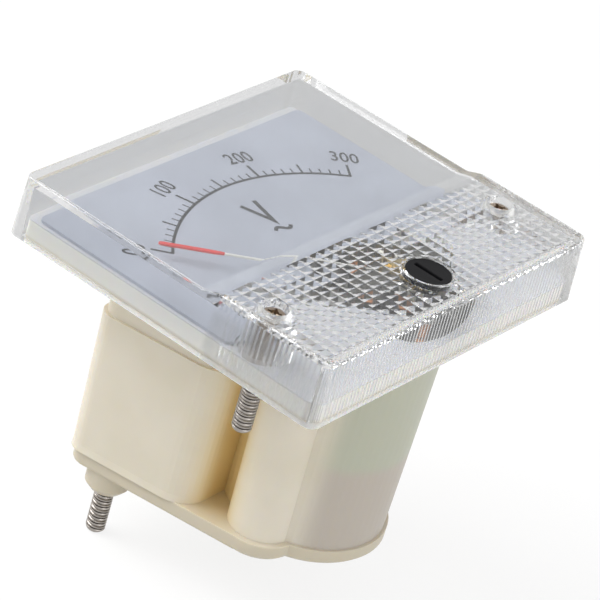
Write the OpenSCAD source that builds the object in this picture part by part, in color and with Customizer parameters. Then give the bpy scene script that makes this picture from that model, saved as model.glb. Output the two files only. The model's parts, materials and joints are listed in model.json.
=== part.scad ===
// Moving-coil panel meter with a clear cover and a moulded rear housing.
// Z = 0 is the plane that seats on the panel, +Z comes out of the dial, +Y is twelve o'clock.
// The origin is midway between the two mounting studs.

/* [Cover] */
// Width of the front cover
face_w = 64; // [60:0.5:72]
// Height of the front cover
face_h = 56; // [52:0.5:64]
// Height of the face's centre above the line of the mounting studs
face_y = 14.5; // [13:0.1:15.5]
// Depth of the cover over the dial window
window_depth = 9.55; // [9:0.05:12]
// Depth of the cover over the movement
lens_depth = 10.45; // [10:0.05:12]
// Thickness of the window
window_wall = 1.7; // [1.2:0.1:2.2]
// Thickness of the cover over the movement, without its prisms
lens_wall = 1.5; // [1.2:0.1:2]
// Thickness of the cover's side walls at the panel
side_wall = 1.9; // [1.5:0.1:2.4]
// Inset of the cover's front edge, from the draft of the mould
cover_draft = 0.4; // [0.2:0.1:1]
// Radius of the cover's upright corners
cover_corner_r = 1.6; // [1:0.1:3]
// Radius of the cover's front edges
cover_edge_r = 0.3; // [0.2:0.1:0.8]
// Height where the window ends, below the face's centre
window_drop = 5.3; // [4:0.1:7]
// Length of the ramp between the window and the raised part
ramp_run = 2.6; // [1:0.1:4]

/* [Rear housing] */
// Thickness of the housing's flange
flange_h = 3; // [2.5:0.1:4]
// Gap between the flange and the cover's wall
flange_gap = 0.1; // [0.05:0.05:0.3]
// Depth of the housing behind the panel
housing_depth = 36.4; // [34:0.2:44]
// Thickness of the rear plate
rear_plate_h = 2.5; // [2:0.1:3.5]
// How far the rear plate stands proud of the walls' lower edge
rear_plate_lip = 0.3; // [0.2:0.05:0.8]
// Thickness of the housing's walls
housing_wall = 1.4; // [1.2:0.1:1.5]
// Radius of the barrel round the movement, at the panel
barrel_r = 12.9; // [12.7:0.05:13.4]
// How much narrower the barrel is at the rear plate, from the draft of the mould
barrel_draft = 0.65; // [0.3:0.05:0.8]
// Distance from the face's centre down to the barrel's axis
barrel_drop = 12.6; // [12:0.1:13]
// Radius of the two pillars beside the barrel
pillar_r = 4.95; // [4.6:0.05:5.4]
// Distance of each pillar's axis from the middle, at the rear plate
pillar_x = 10.8; // [10.6:0.1:11.2]
// How much further out each pillar stands at the panel
pillar_lean = 1.2; // [0.6:0.1:1.6]
// Distance from the face's centre down to the pillars
pillar_drop = 12.7; // [12.8:0.1:13.8]
// Half width between the axes of the box's upper corners
box_corner_x = 18.2; // [17.6:0.1:19]
// Height of the axes of the box's upper corners above the face's centre
box_corner_rise = 13.8; // [13:0.1:15]
// Radius of the box's upper corners
box_corner_r = 2.5; // [1.6:0.1:4]
// Distance from the face's centre down to the box's lower wall
box_drop = 4.1; // [4:0.1:4.6]
// Radius of the box's lower corners
box_foot_r = 5; // [3:0.1:5.5]
// How far the box widens from the rear plate to the flange, on each side
box_draft = 0.6; // [0.3:0.1:1.4]
// How far the box's walls stand out past the rear plate above their lower edge
box_proud = 0.35; // [0.1:0.05:0.6]
// Height of the narrower neck under the flange
neck_h = 10.3; // [4:0.1:14]
// Depth of the step between the box and its neck
neck_step = 0.4; // [0.1:0.05:0.6]

/* [Studs and terminals] */
// Distance of each mounting stud from the side of the cover
stud_inset = 5.05; // [5:0.05:5.6]
// Radius of the mounting and terminal threads, M3
stud_r = 1.5; // [1.25:0.05:2]
// Length of the mounting studs behind the panel plane
stud_len = 9.8; // [8:0.1:14]
// Distance of each terminal from the middle
terminal_x = 16.3; // [15.8:0.1:16.6]
// Height of the terminals above the face's centre
terminal_rise = 10.9; // [10:0.1:11.4]
// Radius of the terminal bosses
terminal_boss_r = 3.4; // [3:0.1:3.6]
// Height of the terminal bosses
terminal_boss_h = 3.9; // [3:0.1:6]
// Length of the terminal thread behind its boss
terminal_len = 7.7; // [6:0.1:14]
// Radius of the cover screws' thread, M2
cover_screw_r = 1; // [0.8:0.05:1.2]
// Radius of the cover screws' heads
cover_head_r = 1.75; // [1.5:0.05:2]
// Clearance of screw holes and loose fits, on the radius
loose_fit = 0.12; // [0.08:0.01:0.2]
// Clearance of tapped holes and turning fits, on the radius
close_fit = 0.03; // [0.02:0.01:0.06]

/* [Dial and pointer] */
// Gap between the dial plate and the cover's side walls
dial_gap = 0.6; // [0.3:0.1:2]
// Height of the dial plate's upper edge above the face's centre
dial_rise = 24.4; // [23:0.1:25.2]
// Distance from the face's centre down to the dial plate's lower edge
dial_drop = 11; // [10.4:0.1:12]
// Thickness of the dial plate
dial_h = 0.5; // [0.4:0.05:0.8]
// Distance from the face's centre down to the pivot
pivot_drop = 16.3; // [16:0.1:16.5]
// Angle of the pointer at rest, left of twelve o'clock
rest_angle = 43.5; // [42:0.5:45]
// Angle that the pointer can turn below its rest
under_travel = 2.5; // [1:0.5:3]
// Angle from rest to the upper stop
over_travel = 91.5; // [88:0.5:92]
// Length of the pointer from the pivot to its tip
pointer_len = 34.2; // [30:0.1:35.4]
// Length of the pointer's wide tip
tip_len = 8.6; // [6:0.1:12]
// Width of the pointer's tip
tip_w = 0.66; // [0.4:0.02:0.9]
// Diameter of the pointer's needle
needle_d = 0.4; // [0.3:0.02:0.5]
// Height of the pointer above the panel plane
pointer_z = 5.5; // [5.4:0.05:5.6]
// Radius on which the stop pins stand
stop_radius = 12.5; // [12:0.1:13]

/* [Movement] */
// Radius of the magnet core
core_r = 4.3; // [4:0.1:4.4]
// Height of the magnet core and its iron ring
core_h = 10; // [8:0.5:11]
// Air gap between core and iron ring
air_gap = 1.75; // [1.7:0.05:1.85]
// Thickness of the iron ring
yoke_wall = 1.2; // [1:0.1:1.25]
// Thickness of the movement frame
frame_h = 1.3; // [1:0.1:1.6]
// Thickness of the coil former's strip
former_t = 0.25; // [0.2:0.05:0.3]
// Width of the coil former's strip
former_w = 2.6; // [2:0.1:2.8]
// Thickness of the copper winding
winding_t = 0.6; // [0.4:0.05:0.7]
// Radius of the pivots
pivot_r = 0.4; // [0.3:0.05:0.45]
// Thickness of the bridges
bridge_h = 0.8; // [0.6:0.05:0.85]
// Width of the bridges
bridge_w = 4.4; // [3.6:0.1:4.6]
// Distance of the movement's fixing screws from the middle
post_x = 12.2; // [12:0.1:12.4]
// Radius of the jewel screws
jewel_r = 1.2; // [1:0.05:1.3]
// Number of turns of each hairspring
spring_turns = 3.5; // [2.5:1:4.5]
// Thickness of the hairspring strip
spring_t = 0.12; // [0.08:0.01:0.16]
// Height of the hairspring strip
spring_h = 0.4; // [0.3:0.05:0.45]

/* [Zero adjuster] */
// Distance from the pivot down to the adjuster's axis
adjuster_drop = 4.5; // [4.4:0.1:4.7]
// Radius of the adjuster's head
adjuster_r = 3.45; // [3:0.05:3.5]
// Height of the adjuster's top above the raised part of the cover
adjuster_rise = 0.55; // [0.4:0.05:0.8]
// Width of the adjuster's slot
adjuster_slot = 0.7; // [0.5:0.05:1]
// Distance of the eccentric pin from the adjuster's axis
pin_throw = 1; // [0.9:0.05:1.1]
// Radius of the eccentric pin
pin_r = 0.45; // [0.35:0.05:0.5]

/* [Hidden] */

$fn = 64;
cut = 0.5;                                  // how far a cutting solid runs past the face it cuts
seat = 0.02;                                // gap between faces that rest on each other

// Heights along Z
lens_under_z = lens_depth - lens_wall;
window_under_z = window_depth - window_wall;
floor_z = -housing_depth + rear_plate_h;
boss_z = -housing_depth - terminal_boss_h;
dial_z = flange_h + seat;
dial_top_z = dial_z + dial_h;
core_top_z = -frame_h;
core_bottom_z = core_top_z - core_h;

// Places along X
stud_x = face_w / 2 - stud_inset;
dial_w = face_w - 2 * (side_wall + dial_gap);

// Places along Y
pivot_y = face_y - pivot_drop;
adjuster_y = pivot_y - adjuster_drop;
barrel_y = face_y - barrel_drop;
pillar_y = face_y - pillar_drop;
box_corner_y = face_y + box_corner_rise;
box_foot_y = face_y - box_drop;
terminal_y = face_y + terminal_rise;

// Coil: the former runs round the core and the winding lies on the former
coil_gap = 0.35;
coil_half = core_r + coil_gap;
coil_top = 0.45;
coil_bottom = core_bottom_z - coil_top;
winding_w = former_w - 2 * 0.3;
winding_top = coil_top + former_t + winding_t;
winding_bottom = coil_bottom - former_t - winding_t;
yoke_in_r = core_r + air_gap;
yoke_out_r = yoke_in_r + yoke_wall;

// Upper bridge, hairsprings and fork, stacked over the pointer
pointer_h = 0.45;
hub_r = 1.3;
spring_z = pointer_z + pointer_h / 2 + 0.1;
collet_r = pivot_r + 0.5;
spring_end_r = 3;
tab_r = spring_end_r + spring_t + seat;
upper_bridge_z = spring_z + spring_h + 0.25;
fork_h = 0.4;
fork_z = upper_bridge_z + bridge_h + 0.05;
jewel_top_z = fork_z + fork_h + 0.35;
jewel_cup = 0.6;
upper_jewel_z = upper_bridge_z - 0.1;
tip_gap = 0.05;
lower_spring_z = winding_bottom - 1.4;
lower_bridge_z = winding_bottom - 3.6;
lower_jewel_z = lower_bridge_z + bridge_h + 0.5;
foot_h = 0.4;
tail_arm = 6;
side_arm = 5.4;
weight_len = 1.6;

// Electrics in the box
board_z = floor_z + 3;
board_low = 6.4;
board_high = 3.2;
board_h = 1.2;
board_hole_x = terminal_x - 4.2;
board_screw_x = 8;
lead_r = 0.45;
lead_drop = 5.6;
diode_l = 3.4;
diode_r = 0.85;
diode_span = 6.2;
diode_pitch = 2.4;
resistor_x = 4.7;
resistor_l = 6;
resistor_r = 1.15;
resistor_span = 8;
part_drop = 1.4;
tag_h = 0.4;
tag_r = 1.3;

// ---------------------------------------------------------------- shared shapes

function unit(v) = v / norm(v);

// Points of the arc of radius r that rounds corner b between its neighbours a and c
function corner_arc(a, b, c, r, steps = 8) =
    let (u = unit(a - b), v = unit(c - b), half = acos(u * v) / 2)
    let (centre = b + unit(u + v) * r / sin(half), reach = r / tan(half))
    let (from = b + u * reach - centre, to = b + v * reach - centre)
    let (start = atan2(from[1], from[0]), end = atan2(to[1], to[0]))
    let (sweep = (end - start + 540) % 360 - 180)
    [for (i = [0:steps]) centre + r * [cos(start + sweep * i / steps), sin(start + sweep * i / steps)]];

// Outline through corners given as [x, y, radius], where radius 0 leaves the corner sharp
function rounded(corners) =
    let (n = len(corners))
    let (at = [for (c = corners) [c[0], c[1]]])
    [for (i = [0:n - 1])
        each corners[i][2] > 0
            ? corner_arc(at[(i + n - 1) % n], at[i], at[(i + 1) % n], corners[i][2])
            : [at[i]]];

// Rectangle w by h about the origin, with corners of radius r
module rounded_rect(w, h, r) {
    x = w / 2;
    y = h / 2;
    polygon(rounded([[-x, -y, r], [x, -y, r], [x, y, r], [-x, y, r]]));
}

// Upright rod or hole of radius r from z0 to z1 at [x, y]
module rod(x, y, r, z0, z1) {
    translate([x, y, z0])
        cylinder(r = r, h = z1 - z0);
}

// Flat bar from r0 to r1 along +Y, w wide, z0 to z1
module bar(r0, r1, w, z0, z1) {
    translate([-w / 2, r0, z0])
        cube([w, r1 - r0, z1 - z0]);
}

// Straight wire between two points, with a round end at each
module wire(a, b, r) {
    d = b - a;
    translate(a)
        rotate([0, acos(d[2] / norm(d)), atan2(d[1], d[0])])
            cylinder(r = r, h = norm(d), $fn = 24);
}

// Bent wire through a list of points, round at each bend
module bent_wire(points, r) {
    for (i = [0:len(points) - 2])
        wire(points[i], points[i + 1], r);
    for (i = [1:len(points) - 2])
        translate(points[i])
            sphere(r = r, $fn = 24);
}

// ---------------------------------------------------------------- front cover

// Rounded rim of one upper corner of the cover, as a ring whose top is at z
module corner_rim(x, y, z) {
    r = cover_edge_r;
    reach = max(cover_corner_r - cover_draft - r, 0.1);
    translate([x, y, z - r])
        rotate_extrude($fn = 24)
            intersection() {
                translate([reach, 0])
                    circle(r, $fn = 24);
                translate([0, -r])
                    square([2 * (reach + r), 2 * r]);
            }
}

// Thin slice across the cover at y, h high and half_w wide at each side of the middle
module cover_slice(y, h, half_w) {
    lean = cover_draft * h / lens_depth;
    translate([0, y + 0.01, 0])
        rotate([90, 0, 0])
            linear_extrude(0.02)
                polygon(rounded([[-half_w, 0, 0], [half_w, 0, 0],
                    [half_w - lean, h, cover_edge_r], [-half_w + lean, h, cover_edge_r]]));
}

module cover_outside() {
    bottom = face_y - face_h / 2;
    top = face_y + face_h / 2;
    ramp_top = face_y - window_drop - ramp_run;
    ramp_end = ramp_top + ramp_run * 1.04;
    rim = max(cover_corner_r - cover_draft - cover_edge_r, 0.1) + cover_edge_r;
    in_low = cover_draft * (window_depth - cover_edge_r) / lens_depth + rim;
    in_high = cover_draft * (lens_depth - cover_edge_r) / lens_depth + rim;
    slim = 0.05;
    // block with the window, over the whole face
    hull() {
        translate([0, face_y, 0])
            linear_extrude(0.3)
                rounded_rect(face_w - 2 * slim, face_h - 2 * slim, cover_corner_r);
        for (side = [-1, 1], y = [bottom + slim + in_low, top - in_low])
            corner_rim(side * (face_w / 2 - slim - in_low), y, window_depth);
    }
    // block over the movement, with the ramp down to the window
    hull() {
        linear_extrude(0.3)
            polygon(rounded([[-face_w / 2, bottom, cover_corner_r], [face_w / 2, bottom, cover_corner_r],
                [face_w / 2, ramp_end, 0], [-face_w / 2, ramp_end, 0]]));
        for (side = [-1, 1])
            corner_rim(side * (face_w / 2 - in_high), bottom + in_high, lens_depth);
        cover_slice(ramp_top, lens_depth, face_w / 2);
        cover_slice(ramp_end, lens_depth - (lens_depth - window_depth) * 1.04, face_w / 2);
    }
}

module cover_inside() {
    w = face_w - 2 * side_wall;
    h = face_h - 2 * side_wall;
    step_y = face_y - window_drop - ramp_run;
    low_y = face_y - h / 2;
    translate([0, face_y, -cut])
        linear_extrude(window_under_z + cut)
            rounded_rect(w, h, 1);
    translate([0, (step_y + low_y + 0.1) / 2, 1])
        linear_extrude(lens_under_z - 1)
            rounded_rect(w - 0.2, step_y - low_y - 0.1, 1);
}

module screw_column(x) {
    rod(x, 0, 2.9, flange_h + seat, lens_under_z + 0.2);
}

module front_cover() color([0.86, 0.88, 0.9, 0.35]) {
    ring_r = adjuster_r + 0.65;
    difference() {
        union() {
            difference() {
                cover_outside();
                cover_inside();
            }
            screw_column(-stud_x);
            screw_column(stud_x);
            rod(0, adjuster_y, ring_r, lens_under_z, lens_depth + adjuster_rise + 0.2);
        }
        for (x = [-stud_x, stud_x]) {
            rod(x, 0, cover_screw_r + loose_fit, -cut, lens_depth);
            rod(x, 0, cover_head_r + loose_fit, cover_head_z, lens_depth + cut);
        }
        rod(0, adjuster_y, adjuster_r + loose_fit, adjuster_seat_z, lens_depth + 2 * adjuster_rise);
        rod(0, adjuster_y, adjuster_neck_r + loose_fit, lens_under_z - cut, lens_depth);
    }
}

cover_head_z = lens_depth - 2;
adjuster_seat_z = lens_depth - 0.8;
adjuster_neck_r = 1.9;

// ---------------------------------------------------------------- rear housing

// Outline of the box, grown by `grow`, with its sides on the same slope as the rear plate
function side_x(y) =
    let (top = box_corner_x + box_corner_r, low = pillar_x + pillar_r + rear_plate_lip + 0.7)
    low + (top - low) * (y - pillar_y) / (box_corner_y - pillar_y);

function box_outline(grow, top_r, foot_r) =
    let (y1 = box_corner_y + box_corner_r + grow, y0 = box_foot_y - grow)
    let (x1 = side_x(y1) + grow, x0 = side_x(y0) + grow)
    rounded([[-x0, y0, foot_r], [x0, y0, foot_r], [x1, y1, top_r], [-x1, y1, top_r]]);

// Growth of the box's outline along X and Y from the rear plate to height z
function box_growth(z) =
    let (rise = box_draft * (z - floor_z) / -floor_z)
    let (half_h = (box_corner_y + box_corner_r - box_foot_y) / 2)
    [1 + rise / (box_corner_x + box_corner_r), 1 + rise / half_h];

// Pillars beside the barrel, further out at the panel than at the rear plate
module pillars() {
    low = [pillar_x, pillar_y, floor_z - 0.1];
    high = [pillar_x + pillar_lean, pillar_y, 0.1];
    d = high - low;
    for (side = [-1, 1])
        translate([side * low[0], low[1], low[2]])
            rotate([0, acos(d[2] / norm(d)), atan2(d[1], side * d[0])])
                rotate(side < 0 ? 160 : 20)
                    translate([0, 0, -0.5])
                        cylinder(r = pillar_r, h = norm(d) + 1);
}

// Plate with a bevelled rear edge: straight sides, barrel and pillars
module rear_plate() {
    z0 = -housing_depth;
    bevel = 0.6;
    low_r = pillar_r + rear_plate_lip + 0.7;
    low_y = pillar_y;
    round_r = barrel_r - barrel_draft + rear_plate_lip + 0.2;
    translate([0, 0, z0 + bevel])
        linear_extrude(rear_plate_h - bevel)
            polygon(plate_outline(0));
    translate([0, 0, z0 + bevel / 2])
        linear_extrude(bevel)
            polygon(plate_outline(-bevel / 4));
    translate([0, 0, z0])
        linear_extrude(bevel)
            polygon(plate_outline(-bevel * 0.8));
    for (at = [[0, barrel_y, round_r], [-pillar_x, low_y, low_r], [pillar_x, low_y, low_r]]) {
        rod(at[0], at[1], at[2], z0 + bevel, floor_z);
        translate([at[0], at[1], z0])
            cylinder(r1 = at[2] - bevel, r2 = at[2], h = bevel);
    }
}

// Straight-sided part of the rear plate, from the box's top down to the pillars
function plate_outline(grow) =
    let (y1 = box_corner_y + box_corner_r + grow, y0 = pillar_y)
    let (x1 = side_x(y1) + grow, x0 = side_x(y0) + grow)
    rounded([[-x0, y0, 0], [x0, y0, 0], [x1, y1, box_corner_r + grow], [-x1, y1, box_corner_r + grow]]);

module terminal_boss(x) {
    taper = 1.1;
    rod(x, terminal_y, terminal_boss_r, boss_z + taper, floor_z);
    translate([x, terminal_y, boss_z])
        cylinder(r1 = terminal_core_r + 0.7, r2 = terminal_boss_r, h = taper);
}

module housing_outside() {
    translate([0, face_y, 0])
        linear_extrude(flange_h)
            rounded_rect(face_w - 2 * (side_wall + flange_gap), face_h - 2 * (side_wall + flange_gap), 0.9);
    // box, widening towards the flange, with a narrower neck
    mid = (box_corner_y + box_corner_r + box_foot_y) / 2;
    grown = box_growth(-neck_h);
    edge_h = 1.8;
    translate([0, 0, floor_z - 0.2])
        linear_extrude(edge_h)
            polygon(box_outline(-rear_plate_lip, box_corner_r, box_foot_r));
    translate([0, mid, floor_z + edge_h / 2])
        linear_extrude(-neck_h - floor_z - edge_h / 2, scale = grown, slices = 1)
            translate([0, -mid])
                polygon(box_outline(box_proud, box_corner_r, box_foot_r));
    translate([0, mid, -neck_h - 0.1])
        linear_extrude(neck_h + 0.3, slices = 1,
            scale = [box_growth(0)[0] / grown[0], box_growth(0)[1] / grown[1]])
            polygon([for (p = box_outline(box_proud - neck_step, box_corner_r, box_foot_r))
                [p[0] * grown[0], (p[1] - mid) * grown[1]]]);
    translate([0, barrel_y, floor_z - 0.1])
        cylinder(r1 = barrel_r - barrel_draft, r2 = barrel_r, h = 0.2 - floor_z);
    pillars();
    rear_plate();
    terminal_boss(-terminal_x);
    terminal_boss(terminal_x);
}

module housing_inside() {
    wall = housing_wall + rear_plate_lip;
    translate([0, 0, floor_z])
        linear_extrude(flange_h - floor_z + cut)
            polygon(box_outline(-wall, 1, 2));
    translate([0, barrel_y, floor_z])
        cylinder(r1 = barrel_r - barrel_draft - housing_wall, r2 = barrel_r - housing_wall,
            h = flange_h + cut - floor_z);
    // pockets for the movement's fixing ears
    for (x = [-post_x, post_x])
        rod(x, pillar_y, 3.4, -frame_h - seat, flange_h + cut);
}

module rear_housing() color([0.86, 0.83, 0.76]) {
    difference() {
        union() {
            difference() {
                housing_outside();
                housing_inside();
            }
            // posts that carry the movement
            for (x = [-post_x, post_x])
                rod(x, pillar_y, 2.6, floor_z - 0.1, -frame_h - seat);
            // posts that carry the circuit board
            for (x = [-board_screw_x, board_screw_x])
                rod(x, terminal_y, 1.8, floor_z - 0.1, board_z - seat);
        }
        for (x = [-post_x, post_x])
            rod(x, pillar_y, bridge_screw_r + close_fit, -bridge_screw_len - 0.5, cut);
        for (x = [-board_screw_x, board_screw_x])
            rod(x, terminal_y, 0.7 + close_fit, board_z - 2.6, board_z + cut);
        for (x = [-dial_screw_x, dial_screw_x])
            rod(x, dial_screw_y, 0.9 + close_fit, 0.6, flange_h + cut);
        for (x = [-stud_x, stud_x]) {
            square_neck(x, stud_neck_w + 2 * close_fit, -cut, flange_h + cut);
            rod(x, 0, stud_head_r + close_fit, stud_head_z, flange_h + cut);
        }
        for (x = [-terminal_x, terminal_x]) {
            rod(x, terminal_y, terminal_core_r + close_fit, boss_z - cut, floor_z - 0.6);
            rod(x, terminal_y, spigot_r + close_fit, floor_z - 0.8, floor_z + cut);
        }
    }
}

bridge_screw_r = 1;
bridge_screw_len = 6;
dial_screw_x = dial_w / 2 - 8.5;
dial_screw_y = face_y - 8.5;
stud_head_r = 2.5;
stud_head_z = 0.9;
stud_neck_w = 3.3;
terminal_core_r = 1.75;
spigot_r = 1;

// ---------------------------------------------------------------- studs and screws

// Square neck that keeps a mounting stud from turning in the flange
module square_neck(x, w, z0, z1) {
    translate([x - w / 2, -w / 2, z0])
        cube([w, w, z1 - z0]);
}

module mounting_stud(x) {
    difference() {
        union() {
            rod(x, 0, stud_head_r, stud_head_z + seat, flange_h);
            square_neck(x, stud_neck_w, 0, stud_head_z + 0.1);
            rod(x, 0, stud_r, -stud_len + 0.4, 0.1);
            translate([x, 0, -stud_len])
                cylinder(r1 = stud_r - 0.4, r2 = stud_r, h = 0.4);
        }
        rod(x, 0, cover_screw_r + close_fit, -1, flange_h + cut);
    }
}

module mounting_stud_left() color([0.45, 0.42, 0.4]) mounting_stud(-stud_x);

module mounting_stud_right() color([0.45, 0.42, 0.4]) mounting_stud(stud_x);

// Cross-recessed screw head, top at z
module cross_head(x, y, r, z, h) {
    difference() {
        rod(x, y, r, z - h, z);
        for (a = [0, 90])
            translate([x, y, z - h / 2])
                rotate(a)
                    translate([-r * 0.62, -r * 0.14, 0])
                        cube([r * 1.24, r * 0.28, h]);
    }
}

module cover_screw(x) {
    head_h = 1.2;
    cross_head(x, 0, cover_head_r, cover_head_z + seat + head_h, head_h);
    rod(x, 0, cover_screw_r, -0.8, cover_head_z + seat + 0.1);
}

module cover_screw_left() color([0.5, 0.47, 0.42]) cover_screw(-stud_x);

module cover_screw_right() color([0.5, 0.47, 0.42]) cover_screw(stud_x);

module terminal_stud(x) {
    end = boss_z - terminal_len;
    rod(x, terminal_y, stud_r, end + 0.5, boss_z + 0.1);
    translate([x, terminal_y, end])
        cylinder(r1 = stud_r - 0.45, r2 = stud_r, h = 0.5);
    rod(x, terminal_y, terminal_core_r, boss_z, floor_z - 0.6 - seat);
    rod(x, terminal_y, spigot_r, floor_z - 0.7, floor_z + tag_h + 0.2);
    // riveted end over the solder tag
    rod(x, terminal_y, tag_r - 0.1, floor_z + tag_h + seat, floor_z + tag_h + 0.5);
}

module terminal_stud_left() color([0.45, 0.42, 0.4]) terminal_stud(-terminal_x);

module terminal_stud_right() color([0.45, 0.42, 0.4]) terminal_stud(terminal_x);

// Tag under the riveted end, with a tongue towards the middle of the board
module solder_tag(side) {
    difference() {
        union() {
            rod(side * terminal_x, terminal_y, tag_r, floor_z + seat, floor_z + tag_h);
            translate([side * (terminal_x + board_hole_x - 1) / 2, terminal_y, floor_z + seat + (tag_h - seat) / 2])
                cube([terminal_x - board_hole_x + 1, 1.8, tag_h - seat], center = true);
        }
        rod(side * terminal_x, terminal_y, spigot_r + close_fit, floor_z - cut, floor_z + 2 * tag_h);
        rod(side * board_hole_x, terminal_y, link_r + close_fit, floor_z - cut, floor_z + 2 * tag_h);
    }
}

link_r = 0.35;

module solder_tag_left() color([0.8, 0.78, 0.7]) solder_tag(-1);

module solder_tag_right() color([0.8, 0.78, 0.7]) solder_tag(1);

// ---------------------------------------------------------------- zero adjuster

module zero_adjuster() color([0.12, 0.12, 0.13]) {
    top = lens_depth + adjuster_rise;
    lip_z = lens_under_z - 0.1;
    difference() {
        union() {
            rod(0, adjuster_y, adjuster_r, adjuster_seat_z + seat, top);
            rod(0, adjuster_y, adjuster_neck_r, lip_z - 0.4, adjuster_seat_z + 0.1);
            rod(0, adjuster_y, adjuster_neck_r + 0.4, lip_z - 0.5, lip_z);
            rod(0, adjuster_y + pin_throw, pin_r, fork_z - 0.3, lip_z - 0.3);
        }
        translate([-adjuster_slot / 2, adjuster_y - adjuster_r * 0.7, top - 0.9])
            cube([adjuster_slot, adjuster_r * 1.4, 2]);
    }
}

// Lever round the upper jewel screw; its slot takes the eccentric pin
module zero_fork() color([0.78, 0.7, 0.45]) {
    arm_end = adjuster_drop + 0.3;
    slot_start = adjuster_drop - pin_throw - pin_r - 0.2;
    slot_w = 2 * (pin_r + 0.12);
    translate([0, pivot_y, 0])
        difference() {
            union() {
                rod(0, 0, jewel_r + 1, fork_z, fork_z + fork_h);
                rotate(180)
                    bar(0, arm_end, slot_w + 1, fork_z, fork_z + fork_h);
                // arm and tab down to the hairspring's outer end
                bar(0, tab_r + 0.35, 0.9, fork_z, fork_z + fork_h);
                bar(tab_r, tab_r + 0.35, 0.9, spring_z, fork_z + fork_h);
            }
            rod(0, 0, jewel_r + close_fit, fork_z - cut, fork_z + fork_h + cut);
            rotate(180)
                bar(slot_start, arm_end + cut, slot_w, fork_z - cut, fork_z + fork_h + cut);
        }
}

// ---------------------------------------------------------------- dial

module dial_plate() color([0.76, 0.79, 0.83]) {
    top = face_y + dial_rise;
    low = face_y - dial_drop;
    notch_r = stop_radius - 2.9;
    difference() {
        translate([0, 0, dial_z])
            linear_extrude(dial_h)
                polygon(rounded([[-dial_w / 2, low, 1], [dial_w / 2, low, 1],
                    [dial_w / 2, top, 1], [-dial_w / 2, top, 1]]));
        rod(0, pivot_y, notch_r, dial_z - cut, dial_top_z + cut);
        for (x = [-dial_screw_x, dial_screw_x])
            rod(x, dial_screw_y, 0.9 + loose_fit, dial_z - cut, dial_top_z + cut);
        for (side = [-1, 1])
            rod(stop_at(side)[0], stop_at(side)[1], stop_r + close_fit, dial_z - cut, dial_top_z + cut);
    }
}

stop_r = 0.5;

// Place of a stop pin: the needle touches it just past its travel
function stop_at(side) =
    let (limit = side < 0 ? rest_angle + under_travel : over_travel - rest_angle)
    let (a = limit + asin((needle_d / 2 + stop_r + 0.1) / stop_radius))
    [side * stop_radius * sin(a), pivot_y + stop_radius * cos(a)];

module dial_screw(x) {
    cross_head(x, dial_screw_y, 1.7, dial_top_z + seat + 1, 1);
    rod(x, dial_screw_y, 0.9, 0.8, dial_top_z + seat + 0.1);
}

module dial_screw_left() color([0.7, 0.68, 0.6]) dial_screw(-dial_screw_x);

module dial_screw_right() color([0.7, 0.68, 0.6]) dial_screw(dial_screw_x);

module pointer_stop(side) {
    at = stop_at(side);
    rod(at[0], at[1], stop_r, dial_z + 0.05, pointer_z + 0.9);
    rod(at[0], at[1], stop_r + 0.3, dial_top_z + seat, dial_top_z + 0.4);
}

module pointer_stop_left() color([0.15, 0.15, 0.15]) pointer_stop(-1);

module pointer_stop_right() color([0.15, 0.15, 0.15]) pointer_stop(1);

// ---------------------------------------------------------------- moving element

// Places its children on the pivot axis, turned to the pointer's rest
module at_rest() {
    translate([0, pivot_y, 0])
        rotate(rest_angle)
            children();
}

arm_r = 0.22;
weight_r = 0.6;

module pointer() color([0.85, 0.84, 0.8]) at_rest() {
    tip_start = pointer_len - tip_len;
    difference() {
        union() {
            rod(0, 0, hub_r, pointer_z - pointer_h / 2, pointer_z + pointer_h / 2);
            wire([0, hub_r - 0.2, pointer_z], [0, tip_start + 0.3, pointer_z], needle_d / 2);
            translate([0, 0, pointer_z - 0.15])
                linear_extrude(0.3)
                    polygon([[-needle_d / 2, tip_start - 0.8], [needle_d / 2, tip_start - 0.8],
                        [tip_w / 2, tip_start + 0.6], [tip_w / 2, pointer_len - 0.3],
                        [0.1, pointer_len], [-0.1, pointer_len],
                        [-tip_w / 2, pointer_len - 0.3], [-tip_w / 2, tip_start + 0.6]]);
            for (a = [90, 180, 270])
                rotate(a)
                    wire([0, hub_r - 0.2, pointer_z], [0, arm_length(a), pointer_z], arm_r);
        }
        rod(0, 0, pivot_r + close_fit, pointer_z - 1, pointer_z + 1);
    }
}

function arm_length(a) = a == 180 ? tail_arm : side_arm;

// One wire coil on each cross arm
module balance_weights() color([0.75, 0.75, 0.72]) at_rest() {
    for (a = [90, 180, 270])
        rotate(a)
            difference() {
                wire([0, arm_length(a) - 0.3 - weight_len, pointer_z], [0, arm_length(a) - 0.3, pointer_z], weight_r);
                wire([0, arm_length(a) - 3, pointer_z], [0, arm_length(a) + 1, pointer_z], arm_r + close_fit);
            }
}

// Upright rectangular loop of thickness t round a window from z0 to z1 and x = -half to half
module coil_loop(half, z0, z1, t, w, r) {
    rotate([90, 0, 0])
        translate([0, 0, -w / 2])
            linear_extrude(w)
                difference() {
                    polygon(rounded([[-half - t, z0 - t, r + t], [half + t, z0 - t, r + t],
                        [half + t, z1 + t, r + t], [-half - t, z1 + t, r + t]]));
                    polygon(rounded([[-half, z0, r], [half, z0, r], [half, z1, r], [-half, z1, r]]));
                }
}

module coil_former() color([0.8, 0.8, 0.8]) at_rest()
    coil_loop(coil_half, coil_bottom, coil_top, former_t, former_w, 0.2);

module coil_winding() color([0.75, 0.42, 0.25]) at_rest() {
    half = coil_half + former_t + seat / 2;
    coil_loop(half, coil_bottom - former_t - seat / 2, coil_top + former_t + seat / 2,
        winding_t - seat, winding_w, 0.45);
}

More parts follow.
